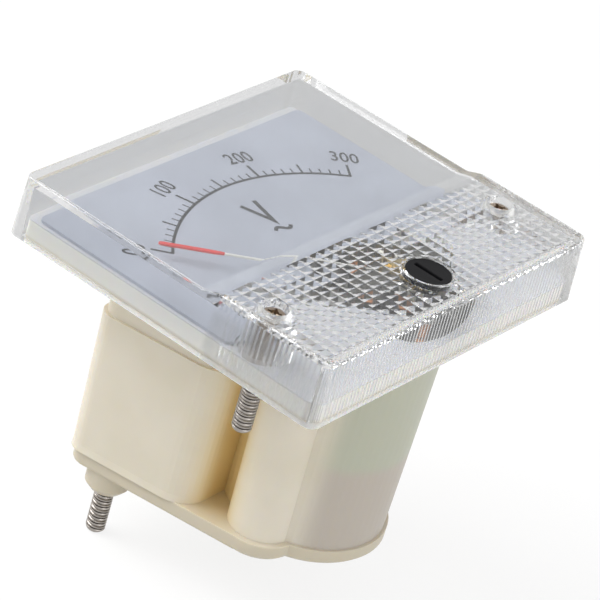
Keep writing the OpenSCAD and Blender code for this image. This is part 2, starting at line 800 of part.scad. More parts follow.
module upper_pivot() color([0.6, 0.6, 0.62]) {
    tip = upper_jewel_z + jewel_cup - tip_gap;
    at_rest()
        translate([-1.6, -1, winding_top + seat])
            cube([3.2, 2, foot_h]);
    translate([0, pivot_y, 0]) {
        rod(0, 0, pivot_r, winding_top + foot_h - 0.1, tip - 0.6);
        translate([0, 0, tip - 0.6])
            cylinder(r1 = pivot_r, r2 = 0.08, h = 0.6);
    }
}

module lower_pivot() color([0.6, 0.6, 0.62]) {
    tip = lower_jewel_z - jewel_cup + tip_gap;
    at_rest()
        translate([-1.6, -1, winding_bottom - seat - foot_h])
            cube([3.2, 2, foot_h]);
    translate([0, pivot_y, 0]) {
        rod(0, 0, pivot_r, tip + 0.6, winding_bottom - foot_h + 0.1);
        translate([0, 0, tip])
            cylinder(r1 = 0.08, r2 = pivot_r, h = 0.6);
    }
}

// Flat spiral strip from the collet on the pivot to an anchor at the angle `end`
module hairspring(z, end) {
    turns = spring_turns;
    steps = 24 * turns;
    start = end - 360 * turns;
    r0 = collet_r - spring_t / 2;
    r1 = spring_end_r;
    at = [for (i = [0:steps]) [r0 + (r1 - r0) * i / steps, start + 360 * turns * i / steps]];
    inner = [for (p = at) p[0] * [cos(p[1]), sin(p[1])]];
    outer = [for (p = at) (p[0] + spring_t) * [cos(p[1]), sin(p[1])]];
    n = len(outer);
    back = [for (i = [n - 1:-1:0]) inner[i]];
    translate([0, pivot_y, z]) {
        linear_extrude(spring_h)
            polygon(concat(outer, back));
        difference() {
            cylinder(r = collet_r, h = spring_h);
            translate([0, 0, -cut])
                cylinder(r = pivot_r + close_fit, h = spring_h + 2 * cut);
        }
    }
}

module upper_hairspring() color([0.8, 0.6, 0.35]) hairspring(spring_z, 90);

module lower_hairspring() color([0.8, 0.6, 0.35]) hairspring(lower_spring_z, -90);

// ---------------------------------------------------------------- bearings and bridges

module upper_jewel_screw() color([0.83, 0.7, 0.4])
    translate([0, pivot_y, 0])
        difference() {
            rod(0, 0, jewel_r, upper_jewel_z, jewel_top_z);
            translate([0, 0, upper_jewel_z - 0.01])
                cylinder(r1 = pivot_r + 0.25, r2 = 0.12, h = jewel_cup + 0.01);
            translate([-2, -0.15, jewel_top_z - 0.35])
                cube([4, 0.3, 1]);
        }

module lower_jewel_screw() color([0.83, 0.7, 0.4])
    translate([0, pivot_y, 0])
        difference() {
            rod(0, 0, jewel_r, lower_bridge_z - 0.9, lower_jewel_z);
            translate([0, 0, lower_jewel_z - jewel_cup])
                cylinder(r1 = 0.12, r2 = pivot_r + 0.25, h = jewel_cup + 0.01);
            translate([-2, -0.15, lower_bridge_z - 1.5])
                cube([4, 0.3, 0.95]);
        }

module magnet_core() color([0.5, 0.5, 0.52])
    rod(0, pivot_y, core_r, core_bottom_z, core_top_z - seat);

module yoke_ring() color([0.4, 0.4, 0.42])
    difference() {
        rod(0, pivot_y, yoke_out_r, core_bottom_z, core_top_z - seat);
        rod(0, pivot_y, yoke_in_r, core_bottom_z - cut, core_top_z + cut);
    }

// Ring on the iron ring, with two lugs over the core, two ears on the posts and a solder lug
module movement_frame() color([0.72, 0.7, 0.62]) {
    ear = [post_x, pillar_y - pivot_y];
    difference() {
        union() {
            difference() {
                union() {
                    rod(0, pivot_y, yoke_out_r + 0.15, -frame_h, 0);
                    for (side = [-1, 1])
                        translate([0, pivot_y, 0])
                            rotate(side * atan2(ear[1], ear[0]) + (side < 0 ? 90 : -90))
                                bar(0, norm(ear), 4, -frame_h, 0);
                    for (x = [-post_x, post_x])
                        rod(x, pillar_y, 2.3, -frame_h, 0);
                    translate([0, pivot_y, 0])
                        rotate(-lead_lug_angle)
                            bar(0, lead_lug_r, 1.8, -frame_h, 0);
                }
                rod(0, pivot_y, yoke_in_r, -frame_h - cut, cut);
            }
            for (a = [0, 180])
                translate([0, pivot_y, 0])
                    rotate(a)
                        bar(2.4, yoke_in_r + 0.3, 3.2, -frame_h, 0);
        }
        for (x = [-post_x, post_x])
            rod(x, pillar_y, bridge_screw_r + loose_fit, -frame_h - cut, cut);
    }
}

lead_lug_angle = 24;
lead_lug_r = yoke_out_r + 2.5;

// Bar over the pointer, on two legs with feet on the movement frame
module upper_bridge() color([0.72, 0.7, 0.62]) {
    leg_in = yoke_out_r + 0.9;
    leg_t = 1;
    difference() {
        union() {
            translate([-leg_in - leg_t, pivot_y - bridge_w / 2, upper_bridge_z])
                cube([2 * (leg_in + leg_t), bridge_w, bridge_h]);
            for (side = [-1, 1]) {
                translate([side * (leg_in + leg_t / 2) - leg_t / 2, pivot_y - bridge_w / 2, seat])
                    cube([leg_t, bridge_w, upper_bridge_z + bridge_h - seat]);
                translate([side * (leg_in + post_x) / 2, pillar_y - 1.2, seat + bridge_h / 2])
                    cube([post_x - leg_in, 4, bridge_h], center = true);
                rod(side * post_x, pillar_y, 2.2, seat, seat + bridge_h);
            }
        }
        rod(0, pivot_y, jewel_r + close_fit, upper_bridge_z - cut, upper_bridge_z + bridge_h + cut);
        for (x = [-post_x, post_x])
            rod(x, pillar_y, bridge_screw_r + loose_fit, -cut, bridge_h + cut);
    }
}

// Bar under the coil, on two legs from the iron ring, with the lower spring's anchor
module lower_bridge() color([0.72, 0.7, 0.62]) {
    leg_t = 1.2;
    leg_x = (yoke_in_r + yoke_out_r) / 2;
    difference() {
        union() {
            translate([-leg_x - leg_t / 2, pivot_y - bridge_w / 2, lower_bridge_z])
                cube([2 * leg_x + leg_t, bridge_w, bridge_h]);
            for (side = [-1, 1])
                translate([side * leg_x - leg_t / 2, pivot_y - 1.5, lower_bridge_z])
                    cube([leg_t, 3, core_bottom_z - seat - lower_bridge_z]);
            translate([0, pivot_y, 0])
                rotate(180)
                    bar(bridge_w / 2 - 0.1, tab_r + 0.5, 1, lower_bridge_z, lower_bridge_z + bridge_h);
            translate([0, pivot_y, 0])
                rotate(180)
                    bar(tab_r, tab_r + 0.5, 1, lower_bridge_z, lower_spring_z + spring_h);
            translate([lead_x - 0.9, pivot_y, lower_bridge_z])
                cube([1.8, bridge_w / 2 + 2, bridge_h]);
        }
        rod(0, pivot_y, jewel_r + close_fit, lower_bridge_z - cut, lower_bridge_z + bridge_h + cut);
    }
}

lead_x = 3.4;

module bridge_screw(x) {
    top = seat + bridge_h + seat + 1.1;
    cross_head(x, pillar_y, 1.9, top, 1.1);
    rod(x, pillar_y, bridge_screw_r, -bridge_screw_len, top - 1);
}

module bridge_screw_left() color([0.8, 0.76, 0.6]) bridge_screw(-post_x);

module bridge_screw_right() color([0.8, 0.76, 0.6]) bridge_screw(post_x);

// ---------------------------------------------------------------- electrics

module circuit_board() color([0.55, 0.5, 0.28]) {
    half_w = board_hole_x + 1.3;
    difference() {
        translate([-half_w, terminal_y - board_low, board_z])
            cube([2 * half_w, board_low + board_high, board_h]);
        for (x = [-board_screw_x, board_screw_x])
            rod(x, terminal_y, 0.7 + loose_fit, board_z - cut, board_z + board_h + cut);
        for (x = [-board_hole_x, board_hole_x])
            rod(x, terminal_y, link_r + close_fit, board_z - cut, board_z + board_h + cut);
    }
}

module board_screw(x) {
    top = board_z + board_h + seat + 0.9;
    cross_head(x, terminal_y, 1.25, top, 0.9);
    rod(x, terminal_y, 0.7, board_z - 2.3, top - 0.8);
}

module board_screw_left() color([0.8, 0.76, 0.6]) board_screw(-board_screw_x);

module board_screw_right() color([0.8, 0.76, 0.6]) board_screw(board_screw_x);

// Axial part lying on the board along X or Y, with its two legs down to the board
module axial_part(at, along, body_l, body_r, span) {
    z = board_z + board_h + seat + body_r + 0.15;
    d = along == "x" ? [1, 0, 0] : [0, 1, 0];
    c = [at[0], at[1], z];
    wire(c - d * body_l / 2, c + d * body_l / 2, body_r);
    foot = [0, 0, board_z + board_h + seat - z];
    bent_wire([c - d * span / 2 + foot, c - d * span / 2, c + d * span / 2, c + d * span / 2 + foot], 0.25);
}

module rectifier_diodes() color([0.75, 0.35, 0.2]) {
    for (i = [0:3])
        axial_part([resistor_x - (4.1 - i) * diode_pitch, terminal_y - part_drop], "y", diode_l, diode_r, diode_span);
}

module series_resistor() color([0.35, 0.5, 0.65])
    axial_part([resistor_x, terminal_y - part_drop], "y", resistor_l, resistor_r, resistor_span);

module link_wire(x) {
    rod(x, terminal_y, link_r, floor_z + seat, board_z + board_h + 0.8);
}

module link_wire_left() color([0.8, 0.8, 0.78]) link_wire(-board_hole_x);

module link_wire_right() color([0.8, 0.8, 0.78]) link_wire(board_hole_x);

// Leads from the board up to the movement
module coil_lead_upper() color([0.75, 0.15, 0.12]) {
    a = 90 - lead_lug_angle;
    x = lead_lug_r * cos(a);
    y = pivot_y + lead_lug_r * sin(a) + 0.45;
    z = -frame_h / 2;
    from_y = terminal_y - lead_drop;
    bent_wire([[x, from_y, board_z + board_h + seat], [x, from_y, z], [x, y + seat, z]], lead_r);
}

module coil_lead_lower() color([0.15, 0.2, 0.5]) {
    y = pivot_y + bridge_w / 2 + 2;
    z = lower_bridge_z + bridge_h / 2;
    from_y = terminal_y - lead_drop;
    from_x = -diode_pitch / 2;
    bend_y = from_y - 4;
    bent_wire([[from_x, from_y, board_z + board_h + seat],
        [from_x, from_y, z], [from_x, bend_y, z], [lead_x, bend_y, z], [lead_x, y + seat, z]], lead_r);
}

rear_housing();
front_cover();
cover_screw_left();
cover_screw_right();
mounting_stud_left();
mounting_stud_right();
terminal_stud_left();
terminal_stud_right();
solder_tag_left();
solder_tag_right();
zero_adjuster();
zero_fork();
dial_plate();
dial_screw_left();
dial_screw_right();
pointer_stop_left();
pointer_stop_right();
pointer();
balance_weights();
coil_former();
coil_winding();
upper_pivot();
lower_pivot();
upper_hairspring();
lower_hairspring();
upper_jewel_screw();
lower_jewel_screw();
magnet_core();
yoke_ring();
movement_frame();
upper_bridge();
lower_bridge();
bridge_screw_left();
bridge_screw_right();
circuit_board();
board_screw_left();
board_screw_right();
rectifier_diodes();
series_resistor();
link_wire_left();
link_wire_right();
coil_lead_upper();
coil_lead_lower();
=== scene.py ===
"""Looks, camera and light for a moving-coil panel meter with a clear cover."""

import json
import math

import bmesh
import bpy
from mathutils import Matrix, Vector


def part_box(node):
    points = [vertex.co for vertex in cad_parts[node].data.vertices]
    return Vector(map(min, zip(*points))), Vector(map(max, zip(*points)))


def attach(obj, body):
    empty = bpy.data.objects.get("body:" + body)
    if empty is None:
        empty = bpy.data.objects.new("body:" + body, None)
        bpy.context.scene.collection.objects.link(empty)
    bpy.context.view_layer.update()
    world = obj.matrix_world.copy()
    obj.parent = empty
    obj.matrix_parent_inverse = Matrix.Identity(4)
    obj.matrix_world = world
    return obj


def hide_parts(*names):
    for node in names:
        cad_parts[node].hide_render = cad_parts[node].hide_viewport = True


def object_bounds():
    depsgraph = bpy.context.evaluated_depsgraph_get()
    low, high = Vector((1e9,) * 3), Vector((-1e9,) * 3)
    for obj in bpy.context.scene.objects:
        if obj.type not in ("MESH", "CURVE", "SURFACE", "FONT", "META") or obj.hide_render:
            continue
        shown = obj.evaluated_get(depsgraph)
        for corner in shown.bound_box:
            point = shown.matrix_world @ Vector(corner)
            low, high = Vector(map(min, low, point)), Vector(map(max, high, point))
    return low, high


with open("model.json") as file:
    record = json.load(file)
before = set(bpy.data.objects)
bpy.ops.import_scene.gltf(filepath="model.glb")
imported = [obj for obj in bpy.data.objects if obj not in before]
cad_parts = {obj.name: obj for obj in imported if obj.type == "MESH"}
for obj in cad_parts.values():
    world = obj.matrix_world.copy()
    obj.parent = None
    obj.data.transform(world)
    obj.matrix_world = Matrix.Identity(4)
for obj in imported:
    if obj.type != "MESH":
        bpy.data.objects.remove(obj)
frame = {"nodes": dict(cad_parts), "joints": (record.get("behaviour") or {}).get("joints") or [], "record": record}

bl_info = {
    "name": "Panel Meter Dresser",
    "version": (1, 0, 0),
    "blender": (4, 5, 0),
    "location": "View3D > Sidebar > Panel Meter",
    "description": "Builds the clear cover, dial, threads and finishes round a panel meter's frame",
    "category": "Object",
}

MM = 0.001
CAD_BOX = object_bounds()
JOINT = {j["name"]: Vector(j["pos_m"]) / MM for j in frame["joints"]}
PIVOT = JOINT["pointer_swing"]
KNOB = JOINT["zero_adjuster_turn"]


def span(node):
    """Lowest and highest corner of a frame node, in millimetres."""
    low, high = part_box(node)
    return Vector(low) / MM, Vector(high) / MM


def centre(node):
    """Middle of a frame node as (x, y), in millimetres."""
    low, high = span(node)
    return (low.x + high.x) / 2, (low.y + high.y) / 2


FACE_LOW, FACE_HIGH = span("front_cover")
FACE_MID_Y = (FACE_LOW.y + FACE_HIGH.y) / 2
DIAL_HIGH = span("dial_plate")[1]

# Housing: middle of the painted shade in the grooves beside the barrel, the box's floor and where its lower wall
# starts
SHADED_GROOVE = Vector((10.8, 8.4))
BOX_FLOOR = -33.9
BOX_LOW_Y = 9.5

# Cover: screw columns, holes for the screws and the studs' heads, and the adjuster's bore
COLUMN_R = 2.9
SCREW_HOLE_R = 1.12
SCREW_HEAD_HOLE_R = 1.87
SCREW_HEAD_HOLE_DEPTH = 2.0
STUD_HEAD_HOLE_R = 3.1
STUD_HEAD_HOLE_TOP = 3.02
KNOB_GAP = 0.12
KNOB_STEM_HOLE_R = 2.02
BELOW = -2.0                                # where a tool that cuts the cover starts

# Studs and screws
M3_R = 1.5
STUD_HEAD_R = 2.5
STUD_FLANGE_Z = 0.92
TERMINAL_LENGTH = 7.7
THREAD_START = 0.45                         # length of a thread's plain, bevelled end
SCREW_TURN = {"left": 20, "right": 55}      # how each cover screw's cross stands, in degrees


# ---------------------------------------------------------------- settings


def amount(name, description, default, **limits):
    """A number that a user may change."""
    return bpy.props.FloatProperty(name=name, description=description, default=default, **limits)


def length(name, description, default):
    """A size in millimetres that a user may change."""
    return amount(name, description, default, min=0.0, precision=3)


def colour(name, description, default):
    """A linear colour that a user may change."""
    return bpy.props.FloatVectorProperty(
        name=name, description=description, default=default, subtype="COLOR", size=3,
        min=0.0, max=1.0)


class MeterCoverSettings(bpy.types.PropertyGroup):
    """Sizes of the clear cover, in millimetres, and the look of its plastic."""

    window_depth: length("Window height", "Height of the window above the panel", 9.55)
    lens_depth: length("Raised height", "Height of the raised part above the panel", 10.45)
    window_wall: length("Window thickness", "Thickness of the window", 1.7)
    lens_wall: length("Raised thickness", "Thickness of the raised part over its prisms", 1.5)
    side_wall: length("Wall thickness", "Thickness of the side walls at the panel", 1.9)
    draft: length("Draft", "Inset of the front edge from the draft of the mould", 0.4)
    corner: length("Corner radius", "Radius of the upright corners", 1.6)
    edge: length("Edge radius", "Radius of the front edges", 0.35)
    window_drop: length("Window drop", "From the face's centre down to the ramp", 5.3)
    ramp: length("Ramp length", "Length of the ramp up to the raised part", 2.6)
    prism_pitch_x: length("Prism width", "Width of one prism", 2.07)
    prism_pitch_y: length("Prism depth", "Depth of one prism", 1.48)
    prism_height: length("Prism height", "Height of one prism", 0.6)
    rib_pitch: length("Rib pitch", "Distance between the ribs inside the walls", 0.81)
    rib_height: length("Rib height", "Height of the ribs inside the bottom wall", 0.22)
    side_rib_height: length("Side ribs", "Height of the ribs inside the side walls", 0.1)
    ring_wall: length("Ring wall", "Thickness of the clear ring round the adjuster", 0.5)
    tint: colour("Tint", "Colour of the clear plastic", (0.71, 0.715, 0.72))
    haze: colour("Haze", "Colour of the milky share of the plastic", (0.62, 0.62, 0.61))
    shadow_tint: colour("Shadow tint", "Share of a lamp's light that one surface lets through",
                        (0.93, 0.93, 0.93))
    milkiness: amount("Milkiness", "Share of the light that the plastic scatters", 0.025,
                      min=0.0, max=1.0)
    side_milkiness: amount("Side milkiness", "The same share in the ribbed side walls", 0.22,
                           min=0.0, max=1.0)
    path_depth: amount("Path depth", "Bends of a light path after which it goes straight on", 4.5)


class MeterHousingSettings(bpy.types.PropertyGroup):
    """Finish of the moulded housing, with the colours of its painted shade and painted light."""

    edge: length("Edge radius", "Radius of the moulded edges", 0.35)
    cream: colour("Cream", "Colour of the moulded plastic", (0.755, 0.70, 0.59))
    shade: colour("Shade", "Colour of its darker patches", (0.72, 0.665, 0.545))
    # painted shade: amber stands in for shade and bounced light in the grooves, and for the flange's shadow behind
    # it
    amber: colour("Amber", "Colour in the grooves beside the barrel", (0.80, 0.62, 0.30))
    groove_shade_reach: length("Amber reach", "Distance from a groove where the amber ends", 12.0)
    # painted shade: the rear plate is the same cream plastic, painted darker and browner
    plate: colour("Plate", "Colour of the rear plate", (0.62, 0.56, 0.44))
    # painted shade: the barrel's two colours stand in for shade on the same cream plastic
    upper_barrel_shade: colour("Upper barrel", "Colour of the barrel near the flange", (0.50, 0.51, 0.41))
    lower_barrel_shade: colour("Lower barrel", "Colour of the barrel near the plate", (0.52, 0.47, 0.41))
    barrel_shade_line: amount("Tint line", "Height where the barrel's colours meet, in mm", -20.0)
    neck_shade: length("Neck shade", "Distance behind the flange that is shaded amber", 3.0)
    # painted shade on the flange's top under the dial, painted light on its edge; both are the same cream plastic
    flange_top_shade: colour("Flange top", "Colour of the flange under the dial", (0.60, 0.61, 0.64))
    flange_side_light: colour("Flange side", "Colour of the flange's edge", (0.90, 0.89, 0.85))


class MeterDialSettings(bpy.types.PropertyGroup):
    """Scale and print of the dial, in millimetres."""

    paint: colour("Dial paint", "Colour of the dial", (0.44, 0.47, 0.545))
    ink: colour("Ink", "Colour of the print", (0.008, 0.009, 0.012))
    red: colour("Pointer red", "Colour of the pointer's tip", (0.72, 0.018, 0.012))
    pale: colour("Pointer pale", "Colour of the pointer's needle", (0.78, 0.77, 0.72))
    arc_radius: length("Arc radius", "Radius of the scale's arc", 31.65)
    half_sweep: amount("Half sweep", "Angle of the scale's ends from twelve o'clock",
                       math.radians(41.4), subtype="ANGLE")
    divisions: bpy.props.IntProperty(
        name="Divisions", description="Number of divisions of the scale", default=30)
    major_tick: length("Major tick", "Length of the ticks at the hundreds", 3.35)
    middle_tick: length("Middle tick", "Length of the ticks at the fifties", 2.5)
    minor_tick: length("Minor tick", "Length of the other ticks", 1.5)
    number_radius: length("Number radius", "Radius of the middle of the numbers", 37.1)
    number_size: length("Number size", "Height of the numbers", 2.75)
    number_width: length("Number width", "Width of the numbers against the plain font", 0.8)
    red_start: length("Red start", "Distance from the pivot where the red tip starts", 25.4)


class MeterScrewSettings(bpy.types.PropertyGroup):
    """Threads, in millimetres."""

    pitch: length("Pitch", "Pitch of the thread", 0.5)
    thread_depth: length("Thread depth", "Depth of the thread", 0.26)


class MeterStageSettings(bpy.types.PropertyGroup):
    """Floor, light and camera."""

    floor_grey: colour("Floor", "Colour of the floor that the plastic shows", (0.56, 0.56, 0.55))
    lens: amount("Lens", "Focal length", 214.53, unit="CAMERA")
    world_level: amount("World", "Level of the light all round", 0.65)
    key_level: amount("Key", "Power of the key light, in watts", 4.5)
    fill_level: amount("Fill", "Power of the fill light, in watts", 1.2)


# ---------------------------------------------------------------- meshes


def new_object(name, mesh):
    """New object at the origin that shows a mesh."""
    obj = bpy.data.objects.new(name, mesh)
    bpy.context.scene.collection.objects.link(obj)
    return obj


def mesh_from(name, bm):
    """Mesh from a bmesh, which is freed."""
    mesh = bpy.data.meshes.new(name)
    bm.to_mesh(mesh)
    bm.free()
    return mesh


def piece_from(name, mesh):
    """New object from a mesh made in millimetres."""
    mesh.transform(Matrix.Scale(MM, 4))
    return new_object(name, mesh)


def closed_piece(name, bm):
    """New object from a closed bmesh in millimetres, with its faces turned outwards."""
    bmesh.ops.recalc_face_normals(bm, faces=bm.faces)
    return piece_from(name, mesh_from(name, bm))


def final_mesh(obj):
    """Mesh of an object after its modifiers, or of a text or curve."""
    bpy.context.view_layer.update()
    graph = bpy.context.evaluated_depsgraph_get()
    return bpy.data.meshes.new_from_object(obj.evaluated_get(graph), depsgraph=graph)


def settle(obj):
    """Applies the object's modifiers, and stops if nothing is left."""
    mesh = final_mesh(obj)
    obj.modifiers.clear()
    obj.data = mesh
    if not mesh.polygons:
        raise RuntimeError(f"{obj.name} came out empty")
    return obj


def combine(obj, tool, operation):
    """Boolean of obj with a tool object, which is removed."""
    modifier = obj.modifiers.new("combine", "BOOLEAN")
    modifier.object = tool
    modifier.operation = operation
    modifier.solver = "EXACT"
    settle(obj)
    bpy.data.objects.remove(tool)
    return obj


def smooth_by_angle(obj, degrees=30, flat_area=None):
    """Smooth shading: edges over the angle stay sharp, and faces over flat_area (mm2) flat."""
    bm = bmesh.new()
    bm.from_mesh(obj.data)
    for face in bm.faces:
        face.smooth = flat_area is None or face.calc_area() < flat_area * MM * MM
    for edge in bm.edges:
        bend = edge.calc_face_angle(0.0)
        edge.smooth = len(edge.link_faces) == 2 and bend < math.radians(degrees)
    bm.to_mesh(obj.data)
    bm.free()


def dress(obj, slot, replaces=(), body="meter", finish=None):
    """Gives a finished piece its body, and the finish of its slot or another finish."""
    obj.data.materials.clear()
    obj.data.materials.append(finishes()[finish or slot])
    if replaces:
        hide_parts(*replaces)
    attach(obj, body)
    return obj


def prism_solid(name, outline, z0, z1):
    """Closed upright prism over an outline of (x, y)."""
    bm = bmesh.new()
    low = [bm.verts.new((x, y, z0)) for x, y in outline]
    high = [bm.verts.new((x, y, z1)) for x, y in outline]
    bm.faces.new(list(reversed(low)))
    bm.faces.new(high)
    n = len(outline)
    for i in range(n):
        j = (i + 1) % n
        bm.faces.new((low[i], low[j], high[j], high[i]))
    return closed_piece(name, bm)


def lathe(name, at, profile, segments=48):
    """Closed solid of revolution about the upright line at (x, y), from points (radius, z)."""
    bm = bmesh.new()
    rings = []
    turn = [2 * math.pi * i / segments for i in range(segments)]
    for radius, z in profile:
        if radius < 1e-6:
            rings.append([bm.verts.new((at[0], at[1], z))])
            continue
        rings.append([bm.verts.new((at[0] + radius * math.cos(a), at[1] + radius * math.sin(a), z))
                      for a in turn])
    for a, b in zip(rings, rings[1:]):
        for i in range(segments):
            j = (i + 1) % segments
            corners = [a[i % len(a)], a[j % len(a)], b[j % len(b)], b[i % len(b)]]
            kept = list(dict.fromkeys(corners))
            if len(kept) > 2:
                bm.faces.new(kept)
    for ring in (rings[0], rings[-1]):
        if len(ring) > 1:
            bm.faces.new(ring)
    return closed_piece(name, bm)


def ribbon(name, points, width, z, thickness=0.02):
    """Flat printed stroke of a width along points (x, y), with its underside at z."""
    bm = bmesh.new()
    rows = []
    for i, point in enumerate(points):
        point = Vector(point)
        before = Vector(points[max(i - 1, 0)])
        after = Vector(points[min(i + 1, len(points) - 1)])
        along = (after - before).normalized()
        side = Vector((-along.y, along.x))
        into = (point - before).normalized() if i else along
        reach = width / 2 / max(abs(side.dot(Vector((-into.y, into.x)))), 0.3)
        edges = (point + side * reach, point - side * reach)
        rows.append([bm.verts.new((p.x, p.y, h)) for h in (z, z + thickness) for p in edges])
    for a, b in zip(rows, rows[1:]):
        for i, j in ((0, 1), (1, 3), (3, 2), (2, 0)):
            bm.faces.new((a[i], a[j], b[j], b[i]))
    for row in (rows[0], rows[-1]):
        bm.faces.new([row[i] for i in (0, 1, 3, 2)])
    return closed_piece(name, bm)


def softened(name, node, radius, segments=2, degrees=28):
    """Copy of a frame node with rounded edges."""
    bm = bmesh.new()
    bm.from_mesh(frame["nodes"][node].data)
    bmesh.ops.remove_doubles(bm, verts=bm.verts, dist=2e-6)
    bmesh.ops.dissolve_limit(bm, angle_limit=math.radians(0.6), verts=bm.verts, edges=bm.edges)
    obj = new_object(name, mesh_from(name, bm))
    bevel = obj.modifiers.new("edges", "BEVEL")
    bevel.width = radius * MM
    bevel.segments = segments
    bevel.limit_method = "ANGLE"
    bevel.angle_limit = math.radians(degrees)
    bevel.use_clamp_overlap = True
    settle(obj)
    smooth_by_angle(obj, 32, 12.0)
    return obj


def join(name, parts):
    """One object from several, with their meshes added together."""
    bm = bmesh.new()
    for part in parts:
        bm.from_mesh(part.data)
        bpy.data.objects.remove(part)
    return new_object(name, mesh_from(name, bm))


# ---------------------------------------------------------------- geometry nodes


class Tree:
    """A geometry node tree with named inputs, ended in Realize Instances and Set Material."""

    def __init__(self, name, **inputs):
        self.group = bpy.data.node_groups.new(name, "GeometryNodeTree")
        face = self.group.interface
        face.new_socket("Geometry", in_out="OUTPUT", socket_type="NodeSocketGeometry")
        self.keys = {}
        for label, kind in (*inputs.items(), ("Material", "Material")):
            socket = face.new_socket(label, in_out="INPUT", socket_type="NodeSocket" + kind)
            self.keys[label] = socket.identifier
        self.source = self.group.nodes.new("NodeGroupInput")

    def node(self, kind, wires=None, **settings):
        """New node, with its settings and the wires or values of its inputs."""
        made = self.group.nodes.new(kind)
        for key, setting in settings.items():
            setattr(made, key, setting)
        for key, value in (wires or {}).items():
            socket = made.inputs[key]
            if isinstance(value, bpy.types.NodeSocket):
                self.group.links.new(value, socket)
            else:
                socket.default_value = value
        return made.outputs[0]

    def given(self, label):
        """Output of the group's input of that name."""
        return self.source.outputs[label]

    def math(self, operation, a, b=0.0):
        """Arithmetic on two values."""
        return self.node("ShaderNodeMath", {0: a, 1: b}, operation=operation)

    def vector(self, x, y, z):
        """Vector from three values."""
        return self.node("ShaderNodeCombineXYZ", {0: x, 1: y, 2: z})

    def end(self, geometry):
        """Closes the tree."""
        real = self.node("GeometryNodeRealizeInstances", {0: geometry})
        painted = self.node("GeometryNodeSetMaterial",
                            {"Geometry": real, "Material": self.given("Material")})
        self.group.links.new(painted, self.group.nodes.new("NodeGroupOutput").inputs[0])

    def grow(self, name, material, **values):
        """Plain mesh object, in millimetres turned to metres, that the tree makes."""
        obj = new_object(name, bpy.data.meshes.new(name))
        modifier = obj.modifiers.new("grow", "NODES")
        modifier.node_group = self.group
        modifier[self.keys["Material"]] = material
        for label, value in values.items():
            modifier[self.keys[label]] = value
        settle(obj)
        obj.data.transform(Matrix.Scale(MM, 4))
        return obj


def prism_tree():
    """Sheet of pyramids that point down, side by side."""
    labels = {"Columns": "Int", "Rows": "Int", "PitchX": "Float", "PitchY": "Float",
              "Height": "Float"}
    tree = Tree("PrismSheet", **labels)
    columns, rows, pitch_x, pitch_y, height = (tree.given(label) for label in labels)
    grid = tree.node("GeometryNodeMeshGrid", {
        "Size X": tree.math("MULTIPLY", tree.math("SUBTRACT", columns, 1.0), pitch_x),
        "Size Y": tree.math("MULTIPLY", tree.math("SUBTRACT", rows, 1.0), pitch_y),
        "Vertices X": columns, "Vertices Y": rows})
    cone = tree.node("GeometryNodeMeshCone", {
        "Vertices": 4, "Radius Top": 0.0, "Radius Bottom": math.sqrt(0.5), "Depth": 1.0},
        fill_type="NONE")
    square = tree.node("GeometryNodeTransform",
                       {"Geometry": cone, "Rotation": (0.0, 0.0, math.pi / 4)})
    scale = tree.vector(pitch_x, pitch_y, tree.math("MULTIPLY", height, -1.0))
    sheet = tree.node("GeometryNodeInstanceOnPoints",
                      {"Points": grid, "Instance": square, "Scale": scale})
    real = tree.node("GeometryNodeRealizeInstances", {0: sheet})
    tree.end(tree.node("GeometryNodeMergeByDistance", {"Geometry": real, "Distance": 0.01}))
    return tree


def thread_tree():
    """Round-crested thread on a rod, along Z from 0."""
    labels = ("Radius", "Depth", "Pitch", "Length")
    tree = Tree("Thread", **dict.fromkeys(labels, "Float"))
    radius, depth, pitch, reach = (tree.given(label) for label in labels)
    crest = tree.math("MULTIPLY", depth, 0.8)
    path_r = tree.math("SUBTRACT", radius, crest)
    turns = tree.math("DIVIDE", reach, pitch)
    spiral = tree.node("GeometryNodeCurveSpiral", {
        "Resolution": 32, "Rotations": turns, "Start Radius": path_r, "End Radius": path_r,
        "Height": reach})
    ring = tree.node("GeometryNodeCurvePrimitiveCircle", {"Resolution": 8, "Radius": crest})
    ridge = tree.node("GeometryNodeCurveToMesh",
                      {"Curve": spiral, "Profile Curve": ring, "Fill Caps": True})
    root_r = tree.math("SUBTRACT", radius, depth)
    rod = tree.node("GeometryNodeMeshCylinder",
                    {"Vertices": 32, "Radius": root_r, "Depth": reach})
    lift = tree.vector(0.0, 0.0, tree.math("MULTIPLY", reach, 0.5))
    core = tree.node("GeometryNodeTransform", {"Geometry": rod, "Translation": lift})
    both = tree.group.nodes.new("GeometryNodeJoinGeometry")
    for shape in (ridge, core):
        tree.group.links.new(shape, both.inputs[0])
    tree.end(both.outputs[0])
    return tree


